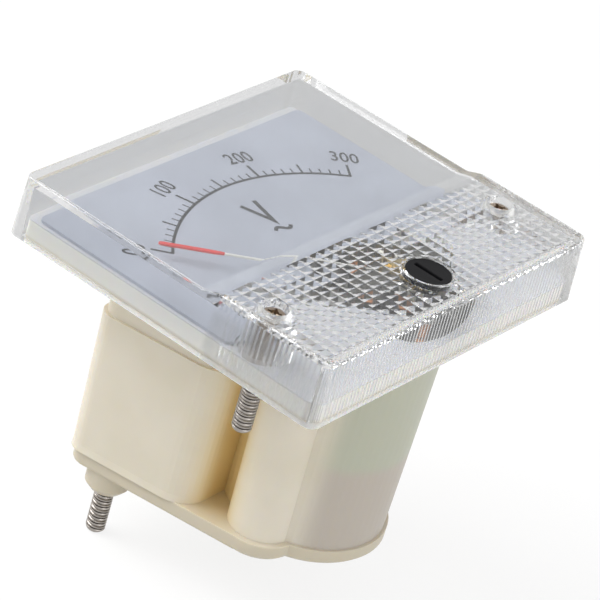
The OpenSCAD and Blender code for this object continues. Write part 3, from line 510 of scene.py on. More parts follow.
def tick_tree():
    """Printed ticks on an arc about the origin, left out where the count divides by Skip."""
    labels = ("Start", "Step", "Radius", "Length", "Width", "Thickness")
    tree = Tree("ScaleTicks", Count="Int", Skip="Int", **dict.fromkeys(labels, "Float"))
    start, step, radius, reach, width, thickness = (tree.given(label) for label in labels)
    index = tree.node("GeometryNodeInputIndex")
    angle = tree.math("ADD", start, tree.math("MULTIPLY", index, step))
    middle = tree.math("ADD", radius, tree.math("MULTIPLY", reach, 0.5))
    x = tree.math("MULTIPLY", middle, tree.math("SINE", angle))
    y = tree.math("MULTIPLY", middle, tree.math("COSINE", angle))
    points = tree.node("GeometryNodePoints",
                       {"Count": tree.given("Count"), "Position": tree.vector(x, y, 0.0)})
    left_over = tree.math("MODULO", index, tree.given("Skip"))
    skipped = tree.math("LESS_THAN", left_over, 0.5)
    kept = tree.node("GeometryNodeDeleteGeometry",
                     {"Geometry": points, "Selection": skipped}, domain="POINT")
    stroke = tree.node("GeometryNodeMeshCube", {"Size": (1.0, 1.0, 1.0)})
    size = tree.vector(width, reach, thickness)
    split = tree.group.nodes.new("ShaderNodeSeparateXYZ")
    tree.group.links.new(tree.node("GeometryNodeInputPosition"), split.inputs[0])
    lean = tree.math("ARCTAN2", split.outputs[0], split.outputs[1])
    turn = tree.vector(0.0, 0.0, tree.math("MULTIPLY", lean, -1.0))
    tree.end(tree.node("GeometryNodeInstanceOnPoints",
                       {"Points": kept, "Instance": stroke, "Rotation": turn, "Scale": size}))
    return tree


# ---------------------------------------------------------------- materials


class Finish:
    """A material on Object coordinates, with short calls for its nodes."""

    def __init__(self, name, base, roughness=0.5, metallic=0.0):
        self.material = bpy.data.materials.new(name)
        self.material.use_nodes = True
        self.nodes = self.material.node_tree.nodes
        self.links = self.material.node_tree.links
        self.shader = self.nodes["Principled BSDF"]
        self.shader.inputs["Base Color"].default_value = (*base, 1.0)
        self.shader.inputs["Roughness"].default_value = roughness
        self.shader.inputs["Metallic"].default_value = metallic
        self.coords = self.nodes.new("ShaderNodeTexCoord").outputs["Object"]

    def feed(self, socket, value):
        """Links a socket to another one, or sets it to a value."""
        if isinstance(value, bpy.types.NodeSocket):
            self.links.new(value, socket)
        else:
            socket.default_value = value

    def noise(self, size, detail=2.0):
        """Noise whose features are about `size` millimetres."""
        made = self.nodes.new("ShaderNodeTexNoise")
        made.inputs["Scale"].default_value = 1.0 / (size * MM)
        made.inputs["Detail"].default_value = detail
        self.links.new(self.coords, made.inputs["Vector"])
        return made.outputs["Fac"]

    def axes(self):
        """X, Y and Z of the point, in metres."""
        made = self.nodes.new("ShaderNodeSeparateXYZ")
        self.links.new(self.coords, made.inputs[0])
        return made.outputs

    def ramp(self, value, stops):
        """Colour ramp from (place, colour) stops."""
        made = self.nodes.new("ShaderNodeValToRGB")
        elements = made.color_ramp.elements
        while len(elements) < len(stops):
            elements.new(0.5)
        for element, (place, tone) in zip(elements, stops):
            element.position = place
            element.color = (*tone, 1.0)
        self.links.new(value, made.inputs["Fac"])
        return made.outputs["Color"]

    def levels(self, value, low, high):
        """Value from 0..1 spread over low..high."""
        made = self.nodes.new("ShaderNodeMapRange")
        made.inputs["To Min"].default_value = low
        made.inputs["To Max"].default_value = high
        self.links.new(value, made.inputs["Value"])
        return made.outputs[0]

    def math(self, operation, a, b=0.0):
        """Arithmetic on two values."""
        made = self.nodes.new("ShaderNodeMath")
        made.operation = operation
        for socket, value in zip(made.inputs, (a, b)):
            self.feed(socket, value)
        return made.outputs[0]

    def times(self, *values):
        """Product of several values."""
        product = values[0]
        for value in values[1:]:
            product = self.math("MULTIPLY", product, value)
        return product

    def band(self, value, start, end):
        """Smooth 0 to 1 as a value in metres goes from start to end, in millimetres."""
        made = self.nodes.new("ShaderNodeMapRange")
        made.interpolation_type = "SMOOTHSTEP"
        rising = start < end
        made.inputs["From Min"].default_value = min(start, end) * MM
        made.inputs["From Max"].default_value = max(start, end) * MM
        made.inputs["To Min"].default_value = 0.0 if rising else 1.0
        made.inputs["To Max"].default_value = 1.0 if rising else 0.0
        self.links.new(value, made.inputs["Value"])
        return made.outputs[0]

    def blend(self, a, b, share):
        """Colour from a to b by a share."""
        made = self.nodes.new("ShaderNodeMix")
        made.data_type = "RGBA"
        self.links.new(share, made.inputs["Factor"])
        for socket, tone in zip((made.inputs[6], made.inputs[7]), (a, b)):
            self.feed(socket, tone if isinstance(tone, bpy.types.NodeSocket) else (*tone, 1.0))
        return made.outputs[2]

    def layer(self, kind, tone):
        """Output of another kind of shader in a colour."""
        made = self.nodes.new(kind)
        made.inputs["Color"].default_value = (*tone, 1.0)
        return made.outputs[0]

    def mix(self, a, b, share):
        """Shader from a to b by a share."""
        made = self.nodes.new("ShaderNodeMixShader")
        for socket, value in zip(made.inputs, (share, a, b)):
            self.feed(socket, value)
        return made.outputs[0]

    def show(self, shader):
        """Ends the material in a shader other than the plain one."""
        self.links.new(shader, self.nodes["Material Output"].inputs[0])

    def wire(self, output, name):
        """Links a value to one of the shader's sockets."""
        self.links.new(output, self.shader.inputs[name])

    def bump(self, height, depth, strength=1.0):
        """Bump of a depth in millimetres."""
        made = self.nodes.new("ShaderNodeBump")
        made.inputs["Strength"].default_value = strength
        made.inputs["Distance"].default_value = depth * MM
        self.links.new(height, made.inputs["Height"])
        self.wire(made.outputs[0], "Normal")

    def patches(self, a, b, size):
        """Two tones in soft patches of about `size` millimetres."""
        return self.ramp(self.noise(size), [(0.35, a), (0.65, b)])


def darker(base, share):
    """A share of a colour."""
    return tuple(c * share for c in base)


def metal_finish(name, base, roughness, grain=0.25):
    """Metal with worn patches and a fine grain."""
    finish = Finish(name, base, roughness, 1.0)
    finish.wire(finish.patches(darker(base, 0.78), base, 0.7), "Base Color")
    rough = finish.levels(finish.noise(grain, 4.0), roughness - 0.08, roughness + 0.14)
    finish.wire(rough, "Roughness")
    finish.bump(finish.noise(grain * 0.5, 3.0), 0.01, 0.4)
    return finish.material


def plastic_finish(name, base, roughness, size=3.0):
    """Moulded plastic or paint with faint patches."""
    finish = Finish(name, base, roughness)
    finish.wire(finish.patches(darker(base, 0.88), base, size), "Base Color")
    finish.bump(finish.noise(0.35, 3.0), 0.012, 0.5)
    return finish.material


def stud_finish():
    """Turned steel, dull and pale on the part that sits in the plastic."""
    base = (0.40, 0.37, 0.34)
    finish = Finish("StudSteel", base, 0.28, 1.0)
    worn = finish.patches(darker(base, 0.78), base, 0.7)
    inside = finish.band(finish.axes()[2], 0.2, 0.8)
    finish.wire(finish.blend(worn, (0.9, 0.9, 0.88), inside), "Base Color")
    finish.wire(finish.levels(inside, 0.3, 0.7), "Roughness")
    finish.bump(finish.noise(0.12, 3.0), 0.01, 0.4)
    return finish.material


def housing_finish(settings):
    """Translucent cream plastic, slightly uneven, with a satin skin, and with painted shade on the barrel, in the
    grooves, on the rear plate, behind the flange and on the flange's top, and painted light on the flange's edge.
    """
    finish = Finish("HousingCream", settings.cream, 0.42)
    tone = finish.patches(settings.shade, settings.cream, 9.0)
    x, y, z = finish.axes()
    aside = finish.math("ABSOLUTE", x)
    top_z = span("rear_housing")[1].z
    # painted shade on the barrel, in front of the groove on either side of it: darker than the cream, greenish
    # near the flange and pinkish near the plate
    tall = finish.band(z, settings.barrel_shade_line - 1.2, settings.barrel_shade_line + 1.2)
    barrel = finish.blend(settings.lower_barrel_shade, settings.upper_barrel_shade, tall)
    lower_side = finish.band(y, PIVOT.y - 1.0, PIVOT.y - 5.5)
    inner = finish.band(aside, 12.5, 9.5)
    below = finish.band(z, -0.5, -1.5)
    tone = finish.blend(tone, barrel, finish.times(lower_side, inner, below))
    # painted shade: amber shade and light bounced between the walls, in the grooves between the barrel, the
    # pillars and the box
    across = finish.math("SUBTRACT", aside, SHADED_GROOVE.x * MM)
    along = finish.math("SUBTRACT", y, SHADED_GROOVE.y * MM)
    squared = finish.math("ADD", finish.times(across, across), finish.times(along, along))
    near = finish.band(finish.math("SQRT", squared), settings.groove_shade_reach, 1.5)
    tone = finish.blend(tone, settings.amber, finish.times(near, near, below))
    # painted shade on the rear plate: the same cream plastic, darker and browner
    tone = finish.blend(tone, settings.plate, finish.band(z, BOX_FLOOR + 0.3, BOX_FLOOR - 0.3))
    # painted shadow of the flange on the plastic just behind it; painted light on the flange's edge and painted
    # shade on its top under the dial
    flange_shadow = finish.times(finish.band(z, -settings.neck_shade, -0.3), below)
    tone = finish.blend(tone, settings.amber, finish.times(flange_shadow, 0.35))
    # painted light on the flange's edge, painted shade on its top
    tone = finish.blend(tone, settings.flange_side_light, finish.band(z, 0.1, 0.6))
    tone = finish.blend(tone, settings.flange_top_shade, finish.band(z, top_z - 0.3, top_z - 0.1))
    finish.wire(tone, "Base Color")
    finish.shader.inputs["Subsurface Weight"].default_value = 0.35
    finish.shader.inputs["Subsurface Radius"].default_value = (1.0, 0.72, 0.36)
    finish.shader.inputs["Subsurface Scale"].default_value = 1.6 * MM
    finish.wire(finish.levels(finish.noise(1.4, 3.0), 0.36, 0.52), "Roughness")
    finish.bump(finish.noise(0.6, 3.0), 0.02, 0.35)
    return finish.material


def clear_finish(settings):
    """Clear moulded plastic: slightly milky, with flow marks, and open to the lamps' light."""
    finish = Finish("ClearPlastic", settings.tint, 0.02)
    finish.shader.inputs["Transmission Weight"].default_value = 1.0
    finish.shader.inputs["IOR"].default_value = 1.46
    finish.wire(finish.levels(finish.noise(2.5, 4.0), 0.0, 0.06), "Roughness")
    finish.bump(finish.noise(7.0, 1.0), 0.02, 0.05)
    # the ribbed side walls are milkier than the rest
    x, y, z = finish.axes()
    outer = FACE_HIGH.x - settings.side_wall
    step_y = raised_end(settings)
    sides = finish.times(finish.band(finish.math("ABSOLUTE", x), outer - 3, outer - 1),
                         finish.band(y, step_y + 0.6, step_y - 0.6), finish.band(z, 8.4, 7.0))
    share = finish.levels(sides, settings.milkiness, settings.side_milkiness)
    haze = finish.layer("ShaderNodeBsdfTranslucent", settings.haze)
    milky = finish.mix(finish.shader.outputs[0], haze, share)
    # a lamp's light, and a path that is caught in the plastic, go straight through
    path = finish.nodes.new("ShaderNodeLightPath").outputs
    caught = finish.math("GREATER_THAN", path["Ray Depth"], settings.path_depth)
    open_way = finish.layer("ShaderNodeBsdfTransparent", settings.shadow_tint)
    finish.show(finish.mix(milky, open_way, finish.math("MAXIMUM", caught, path["Is Shadow Ray"])))
    return finish.material


def pointer_finish(settings):
    """Pale needle with a red tip beyond a distance from the pivot."""
    finish = Finish("PointerPaint", settings.pale, 0.4)
    shift = finish.nodes.new("ShaderNodeVectorMath")
    shift.operation = "SUBTRACT"
    shift.inputs[1].default_value = tuple(PIVOT * MM)
    finish.links.new(finish.coords, shift.inputs[0])
    reach = finish.nodes.new("ShaderNodeVectorMath")
    reach.operation = "LENGTH"
    finish.links.new(shift.outputs[0], reach.inputs[0])
    start = settings.red_start
    red = finish.band(reach.outputs["Value"], start - 0.05, start + 0.05)
    finish.wire(finish.blend(settings.pale, settings.red, red), "Base Color")
    finish.bump(finish.noise(0.4, 2.0), 0.01, 0.3)
    return finish.material


def winding_finish(turn=0.12):
    """Enamelled copper wire in close turns, each `turn` millimetres thick."""
    finish = Finish("CopperWinding", (0.62, 0.24, 0.09), 0.3, 0.9)
    wave = finish.nodes.new("ShaderNodeTexWave")
    wave.wave_type = "BANDS"
    wave.bands_direction = "Z"
    wave.inputs["Scale"].default_value = 0.05 / (turn * MM)
    finish.links.new(finish.coords, wave.inputs["Vector"])
    ridge = wave.outputs["Fac"]
    finish.wire(finish.ramp(ridge, [(0.2, (0.35, 0.12, 0.04)), (0.6, (0.72, 0.3, 0.12))]),
                "Base Color")
    finish.bump(ridge, 0.03, 0.6)
    return finish.material


# Colour and roughness by slot
PLAIN_METALS = {
    "brown_steel": ((0.42, 0.33, 0.25), 0.32),
    "tinned_brass": ((0.68, 0.66, 0.58), 0.35),
    "brass": ((0.72, 0.55, 0.25), 0.35),
    "bright_steel": ((0.55, 0.54, 0.52), 0.3),
    "former_aluminium": ((0.7, 0.7, 0.7), 0.35),
    "spring_bronze": ((0.65, 0.42, 0.16), 0.3),
    "magnet": ((0.10, 0.10, 0.105), 0.45),
    "frame_metal": ((0.16, 0.155, 0.14), 0.4),
}
PLAIN_PLASTICS = {
    "black_plastic": ((0.008, 0.008, 0.009), 0.36),
    "board": ((0.36, 0.28, 0.10), 0.55),
    "diode_body": ((0.45, 0.14, 0.05), 0.25),
    "resistor_body": ((0.10, 0.22, 0.38), 0.3),
    "lead_red": ((0.5, 0.03, 0.02), 0.45),
    "lead_blue": ((0.03, 0.05, 0.25), 0.45),
}


def finishes():
    """Every material by its slot, made once."""
    made = {m["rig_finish"]: m for m in bpy.data.materials if "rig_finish" in m}
    if made:
        return made
    scene = bpy.context.scene
    for slot, (base, roughness) in PLAIN_METALS.items():
        made[slot] = metal_finish("Metal_" + slot, base, roughness)
    for slot, (base, roughness) in PLAIN_PLASTICS.items():
        made[slot] = plastic_finish("Plastic_" + slot, base, roughness)
    black = made["black_plastic"].node_tree.nodes["Principled BSDF"]
    black.inputs["Specular IOR Level"].default_value = 0.06
    made["housing"] = housing_finish(scene.meter_housing)
    made["clear_cover"] = clear_finish(scene.meter_cover)
    made["dial_paint"] = plastic_finish("DialPaint", scene.meter_dial.paint, 0.55, 12.0)
    made["ink"] = plastic_finish("DialInk", scene.meter_dial.ink, 0.6)
    made["pointer_metal"] = pointer_finish(scene.meter_dial)
    made["copper_wire"] = winding_finish()
    made["dark_steel"] = stud_finish()
    for slot, material in made.items():
        material["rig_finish"] = slot
    return made


def background_rays(nodes, links):
    """1 for the rays that show the background: the camera's own and those in metal and glass."""
    path = nodes.new("ShaderNodeLightPath")
    shown = path.outputs["Is Camera Ray"]
    for other in ("Is Glossy Ray", "Is Transmission Ray"):
        either = nodes.new("ShaderNodeMath")
        either.operation = "MAXIMUM"
        links.new(shown, either.inputs[0])
        links.new(path.outputs[other], either.inputs[1])
        shown = either.outputs[0]
    return shown


# ---------------------------------------------------------------- operators


class METER_OT_stage(bpy.types.Operator):
    """Camera, lamps, world and floor."""

    bl_idname = "meter.stage"
    bl_label = "Stage"

    def execute(self, context):
        stage = context.scene.meter_stage
        context.scene.view_settings.view_transform = "Standard"
        right = Vector((0.60149, -0.76015, 0.2457)).normalized()
        ahead = Vector((0.74766, 0.42728, -0.50837)).normalized()
        up = right.cross(ahead).normalized()
        right = ahead.cross(up)
        self.camera(context, stage, Matrix((right, up, -ahead)).transposed())
        middle = Vector((0, FACE_MID_Y, -15)) * MM
        key = up * 0.55 - ahead * 0.25 - right * 0.35
        fill = right * 0.5 - ahead * 0.45 - up * 0.1
        self.lamp("Key", middle + key, middle, stage.key_level)
        self.lamp("Fill", middle + fill, middle, stage.fill_level)
        self.world(context, stage)
        self.floor(stage)
        return {"FINISHED"}

    def camera(self, context, stage, turn):
        """Camera in front of the meter, to its left and above it."""
        eye = Vector((-384.566, FACE_MID_Y - 222.039, 256.724)) * MM
        camera = bpy.data.cameras.new("Camera")
        camera.lens = stage.lens
        camera.sensor_width = 36.0
        camera.clip_start = 0.01
        view = new_object("Camera", camera)
        view.matrix_world = Matrix.Translation(eye) @ turn.to_4x4()
        context.scene.camera = view

    def lamp(self, name, place, target, power, size=0.5):
        """Square area lamp that faces the target."""
        light = bpy.data.lights.new(name, "AREA")
        light.size = size
        light.energy = power
        obj = new_object(name, light)
        obj.location = place
        obj.rotation_euler = (target - place).to_track_quat("-Z", "Y").to_euler()

    def world(self, context, stage):
        """Even light all round, white where it shows as the background."""
        world = bpy.data.worlds.new("World")
        context.scene.world = world
        world.use_nodes = True
        nodes, links = world.node_tree.nodes, world.node_tree.links
        background = nodes["Background"]
        background.inputs["Color"].default_value = (1.0, 1.0, 1.0, 1.0)
        level = nodes.new("ShaderNodeMapRange")
        level.inputs["To Min"].default_value = stage.world_level
        level.inputs["To Max"].default_value = 1.0
        links.new(background_rays(nodes, links), level.inputs["Value"])
        links.new(level.outputs[0], background.inputs["Strength"])

    def floor(self, stage, half=3000, thickness=5, glow=0.82):
        """Plain floor under the studs, almost white where it shows as the background."""
        z = CAD_BOX[0].z / MM
        corners = [(-half, -half), (half, -half), (half, half), (-half, half)]
        floor = prism_solid("floor", corners, z - thickness, z)
        finish = Finish("Floor", stage.floor_grey, 0.8)
        white = finish.layer("ShaderNodeEmission", (1.0, 1.0, 1.0))
        pale = finish.layer("ShaderNodeBsdfDiffuse", (0.95, 0.95, 0.95))
        seen = finish.mix(pale, white, glow)
        shown = background_rays(finish.nodes, finish.links)
        finish.show(finish.mix(finish.shader.outputs[0], seen, shown))
        floor.data.materials.append(finish.material)


def raised_end(size):
    """Y where the cover's raised part ends and its ramp to the window starts."""
    return FACE_MID_Y - size.window_drop - size.ramp


class METER_OT_cover(bpy.types.Operator):
    """Clear cover with its window, raised part, prisms, ribs, screw columns and ring."""

    bl_idname = "meter.cover"
    bl_label = "Clear cover"

    def execute(self, context):
        size = context.scene.meter_cover
        columns = [centre("mounting_stud_left"), centre("mounting_stud_right")]
        shell = self.outside(size)
        inside = self.inside(size)
        for at in columns:
            column = lathe("column", at, [(COLUMN_R, BELOW), (COLUMN_R, size.lens_depth)])
            combine(inside, column, "DIFFERENCE")
        combine(shell, inside, "DIFFERENCE")
        low, high = span("zero_adjuster")
        bore_r = (high.x - low.x) / 2 + KNOB_GAP
        ring_r = bore_r + size.ring_wall
        top = FACE_HIGH.z
        under = size.lens_depth - size.lens_wall
        boss = lathe("boss", KNOB, [(ring_r, under - 0.3), (ring_r, top - 0.12),
                                    (ring_r - 0.12, top)])
        combine(shell, boss, "UNION")
        z = size.lens_depth
        ledge = z - SCREW_HEAD_HOLE_DEPTH
        for at in columns:
            hole = lathe("hole", at, [(SCREW_HOLE_R, BELOW), (SCREW_HOLE_R, ledge),
                                      (SCREW_HEAD_HOLE_R, ledge), (SCREW_HEAD_HOLE_R, z - 0.15),
                                      (2.1, z + 0.3)])
            combine(shell, hole, "DIFFERENCE")
            foot = lathe("foot", at, [(STUD_HEAD_HOLE_R, BELOW),
                                      (STUD_HEAD_HOLE_R, STUD_HEAD_HOLE_TOP)])
            combine(shell, foot, "DIFFERENCE")
        seat = z - 0.8
        bore = lathe("bore", KNOB, [(KNOB_STEM_HOLE_R, under - 2), (KNOB_STEM_HOLE_R, seat),
                                    (bore_r, seat), (bore_r, top - 0.1),
                                    (bore_r + 0.12, top + 0.1)])
        combine(shell, bore, "DIFFERENCE")
        smooth_by_angle(shell, 24, 0.9)
        shell.name = "clear_cover_moulding"
        dress(shell, "clear_cover", ["front_cover"])
        return {"FINISHED"}

    def outside(self, size):
        """Outer block with its ramp, drafted walls and rounded edges."""
        half = (FACE_HIGH.x - FACE_LOW.x) / 2
        lean = size.draft / size.lens_depth
        ramp_top = raised_end(size)
        outline = [(FACE_LOW.y, 0.0), (FACE_LOW.y + size.draft, size.lens_depth),
                   (ramp_top, size.lens_depth), (ramp_top + size.ramp, size.window_depth),
                   (FACE_HIGH.y - lean * size.window_depth, size.window_depth),
                   (FACE_HIGH.y, 0.0)]
        bm = bmesh.new()
        sides = [[bm.verts.new((s * (half - lean * z), y, z)) for y, z in outline]
                 for s in (-1, 1)]
        bm.faces.new(sides[0])
        bm.faces.new(list(reversed(sides[1])))
        for i in range(len(outline)):
            j = (i + 1) % len(outline)
            bm.faces.new((sides[0][j], sides[0][i], sides[1][i], sides[1][j]))
        bmesh.ops.recalc_face_normals(bm, faces=bm.faces)
        upright = [e for e in bm.edges if abs(e.verts[0].co.z - e.verts[1].co.z) > 5]
        self.bevel(bm, upright, size.corner, 6)
        rim = [e for e in bm.edges if min(v.co.z for v in e.verts) > size.window_depth - 0.5
               and e.calc_face_angle(0.0) > math.radians(12)]
        self.bevel(bm, rim, size.edge, 3)
        return piece_from("cover_shell", mesh_from("cover_shell", bm))

    def bevel(self, bm, edges, radius, segments):
        """Rounds some edges of a bmesh."""
        bmesh.ops.bevel(bm, geom=edges, offset=radius, offset_type="OFFSET", segments=segments,
                        profile=0.5, affect="EDGES")

    def inside(self, size):
        """Hollow of the cover: prisms in its ceiling over the movement, ribs in its walls."""
        half = (FACE_HIGH.x - FACE_LOW.x) / 2 - size.side_wall
        low_y, high_y = FACE_LOW.y + size.side_wall, FACE_HIGH.y - size.side_wall
        step_y = raised_end(size)
        ceiling = size.lens_depth - size.lens_wall
        rows = math.ceil((step_y - low_y) / size.prism_pitch_y)
        columns = math.ceil(2 * half / size.prism_pitch_x) + 1
        sheet = prism_tree().grow(
            "prisms", None, Columns=columns, Rows=rows, PitchX=size.prism_pitch_x,
            PitchY=size.prism_pitch_y, Height=size.prism_height)
        bm = bmesh.new()
        bm.from_mesh(sheet.data)
        bpy.data.objects.remove(sheet)
        bmesh.ops.scale(bm, vec=(1 / MM,) * 3, verts=bm.verts)
        top = max(v.co.z for v in bm.verts)
        centre_y = step_y - rows * size.prism_pitch_y / 2
        bmesh.ops.translate(bm, vec=(0, centre_y, ceiling - top), verts=bm.verts)
        # the sheet's border is drawn down and closed below
        border = [e for e in bm.edges if len(e.link_faces) == 1]
        drawn = bmesh.ops.extrude_edge_only(bm, edges=border)["geom"]
        for part in drawn:
            if isinstance(part, bmesh.types.BMVert):
                part.co.z = -1.0
        open_edges = [e for e in bm.edges if len(e.link_faces) == 1]
        bmesh.ops.contextual_create(bm, geom=open_edges)
        hollow = closed_piece("hollow", bm)
        outline = self.ribbed(size, half, low_y, step_y + 0.01)
        combine(hollow, prism_solid("well", outline, -0.9, ceiling + 1), "INTERSECT")
        corners = [(-half, step_y - 2), (half, step_y - 2), (half, high_y), (-half, high_y)]
        bay = prism_solid("bay", corners, -0.9, size.window_depth - size.window_wall)
        return combine(hollow, bay, "UNION")

    def ribbed(self, size, half, low_y, high_y):
        """Outline of the lower hollow, with a zigzag along its bottom and its sides."""
        corners = [Vector(c) for c in ((-half, high_y), (-half, low_y), (half, low_y),
                                       (half, high_y))]
        outline = []
        for start, end, inward, height in zip(corners, corners[1:], ((1, 0), (0, 1), (-1, 0)),
                                              (size.side_rib_height, size.rib_height,
                                               size.side_rib_height)):
            count = round((end - start).length / size.rib_pitch)
            for i in range(2 * count):
                rise = Vector(inward) * (height if i % 2 else 0.0)
                outline.append(start.lerp(end, i / 2 / count) + rise)
        outline.append(corners[-1])
        return [tuple(p) for p in outline]


class METER_OT_housing(bpy.types.Operator):
    """Moulded rear housing with rounded edges."""

    bl_idname = "meter.housing"
    bl_label = "Housing"

    def execute(self, context):
        edge = context.scene.meter_housing.edge
        housing = softened("housing_moulding", "rear_housing", edge, 3)
        combine(housing, self.skirt(), "UNION")
        smooth_by_angle(housing, 32, 12.0)
        dress(housing, "housing", ["rear_housing"])
        return {"FINISHED"}

    def skirt(self, level=BOX_FLOOR + 0.9):
        """Fillet that carries the box's walls down to the rear plate."""
        vertices = frame["nodes"]["rear_housing"].data.vertices
        ring = [v.co for v in vertices
                if abs(v.co.z - level * MM) < 2e-5 and v.co.y > BOX_LOW_Y * MM]
        if len(ring) < 8:
            raise RuntimeError("the box's lower edge was not found")
        bm = bmesh.new()
        for rise, grow in ((-0.9, 0.12), (-0.35, 0.02), (0.5, -0.02)):
            for c in ring:
                out = Vector((c.x, c.y - FACE_MID_Y * MM)).normalized() * grow * MM
                bm.verts.new((c.x + out.x, c.y + out.y, (level + rise) * MM))
        bmesh.ops.convex_hull(bm, input=bm.verts)
        bmesh.ops.delete(bm, geom=[v for v in bm.verts if not v.link_faces], context="VERTS")
        bmesh.ops.recalc_face_normals(bm, faces=bm.faces)
        return new_object("skirt", mesh_from("skirt", bm))


class METER_OT_dial(bpy.types.Operator):
    """Dial plate with its printed arc, ticks, numbers and signs."""

    bl_idname = "meter.dial"
    bl_label = "Dial"

    def execute(self, context):
        dial = context.scene.meter_dial
        plate = softened("dial_sheet", "dial_plate", 0.08, 2)
        dress(plate, "dial_paint", ["dial_plate"])
        z = DIAL_HIGH.z + 0.005
        sweep = dial.half_sweep
        step = 2 * sweep / dial.divisions
        ticks = tick_tree()
        # name, count, first division, divisions apart, length, width, skip
        rows = (("hundreds", 5, -10, 10, dial.major_tick, 0.42, 5),
                ("fifties", 4, -5, 10, dial.middle_tick, 0.36, 4),
                ("tens", dial.divisions, 0, 1, dial.minor_tick, 0.24, 5))
        for name, count, first, apart, reach, width, skip in rows:
            marks = ticks.grow(
                "dial_ticks_" + name, finishes()["ink"], Count=count, Start=first * step - sweep,
                Step=apart * step, Length=reach, Width=width, Skip=skip,
                Radius=dial.arc_radius - 0.15, Thickness=0.02)
            marks.data.transform(Matrix.Translation(Vector((PIVOT.x, PIVOT.y, z)) * MM))
            self.printed(marks)
        arc = [self.at(dial.arc_radius, sweep * (i / 40 - 1)) for i in range(81)]
        self.printed(ribbon("dial_arc", arc, 0.46, z))
        for i, text in enumerate(("0", "100", "200", "300")):
            self.number(text, dial, -sweep + 10 * step * i, z)
        self.signs(z)
        return {"FINISHED"}

    def printed(self, obj):
        """Gives a printed mark its ink."""
        dress(obj, "dial_paint", finish="ink")

    def at(self, radius, angle):
        """Point of the dial at a radius and an angle from twelve o'clock about the pivot."""
        return PIVOT.x + radius * math.sin(angle), PIVOT.y + radius * math.cos(angle)

    def number(self, text, dial, angle, z):
        """A number that stands along the arc."""
        curve = bpy.data.curves.new("number_" + text, "FONT")
        curve.body = text
        curve.size = dial.number_size * 1.38
        curve.align_x = "CENTER"
        curve.offset = 0.012 * dial.number_size
        curve.extrude = 0.01
        curve.space_character = 1.04
        source = new_object("source", curve)
        mesh = final_mesh(source)
        bpy.data.objects.remove(source)
        x, y = self.at(dial.number_radius, angle)
        place = Matrix.Translation((x, y, z + 0.01)) @ Matrix.Rotation(-angle, 4, "Z")
        drop = Matrix.Translation((0, -dial.number_size / 2, 0))
        mesh.transform(place @ drop @ Matrix.Diagonal((dial.number_width, 1.0, 1.0, 1.0)))
        self.printed(piece_from("dial_number_" + text, mesh))

    def signs(self, z):
        """The sign for volts, with the wave for alternating current under it."""
        low, high = FACE_MID_Y + 5.45, FACE_MID_Y + 10.6
        middle, half = -0.2, 1.55
        volts = [(middle - half, high), (middle, low), (middle + half, high)]
        self.printed(ribbon("dial_sign_volts", volts, 0.72, z))
        left, level, width, height, points = -2.15, FACE_MID_Y + 3.5, 3.4, 0.5, 24
        wave = [(left + width * i / points, level + height * math.sin(2 * math.pi * i / points))
                for i in range(points + 1)]
        self.printed(ribbon("dial_sign_wave", wave, 0.62, z))


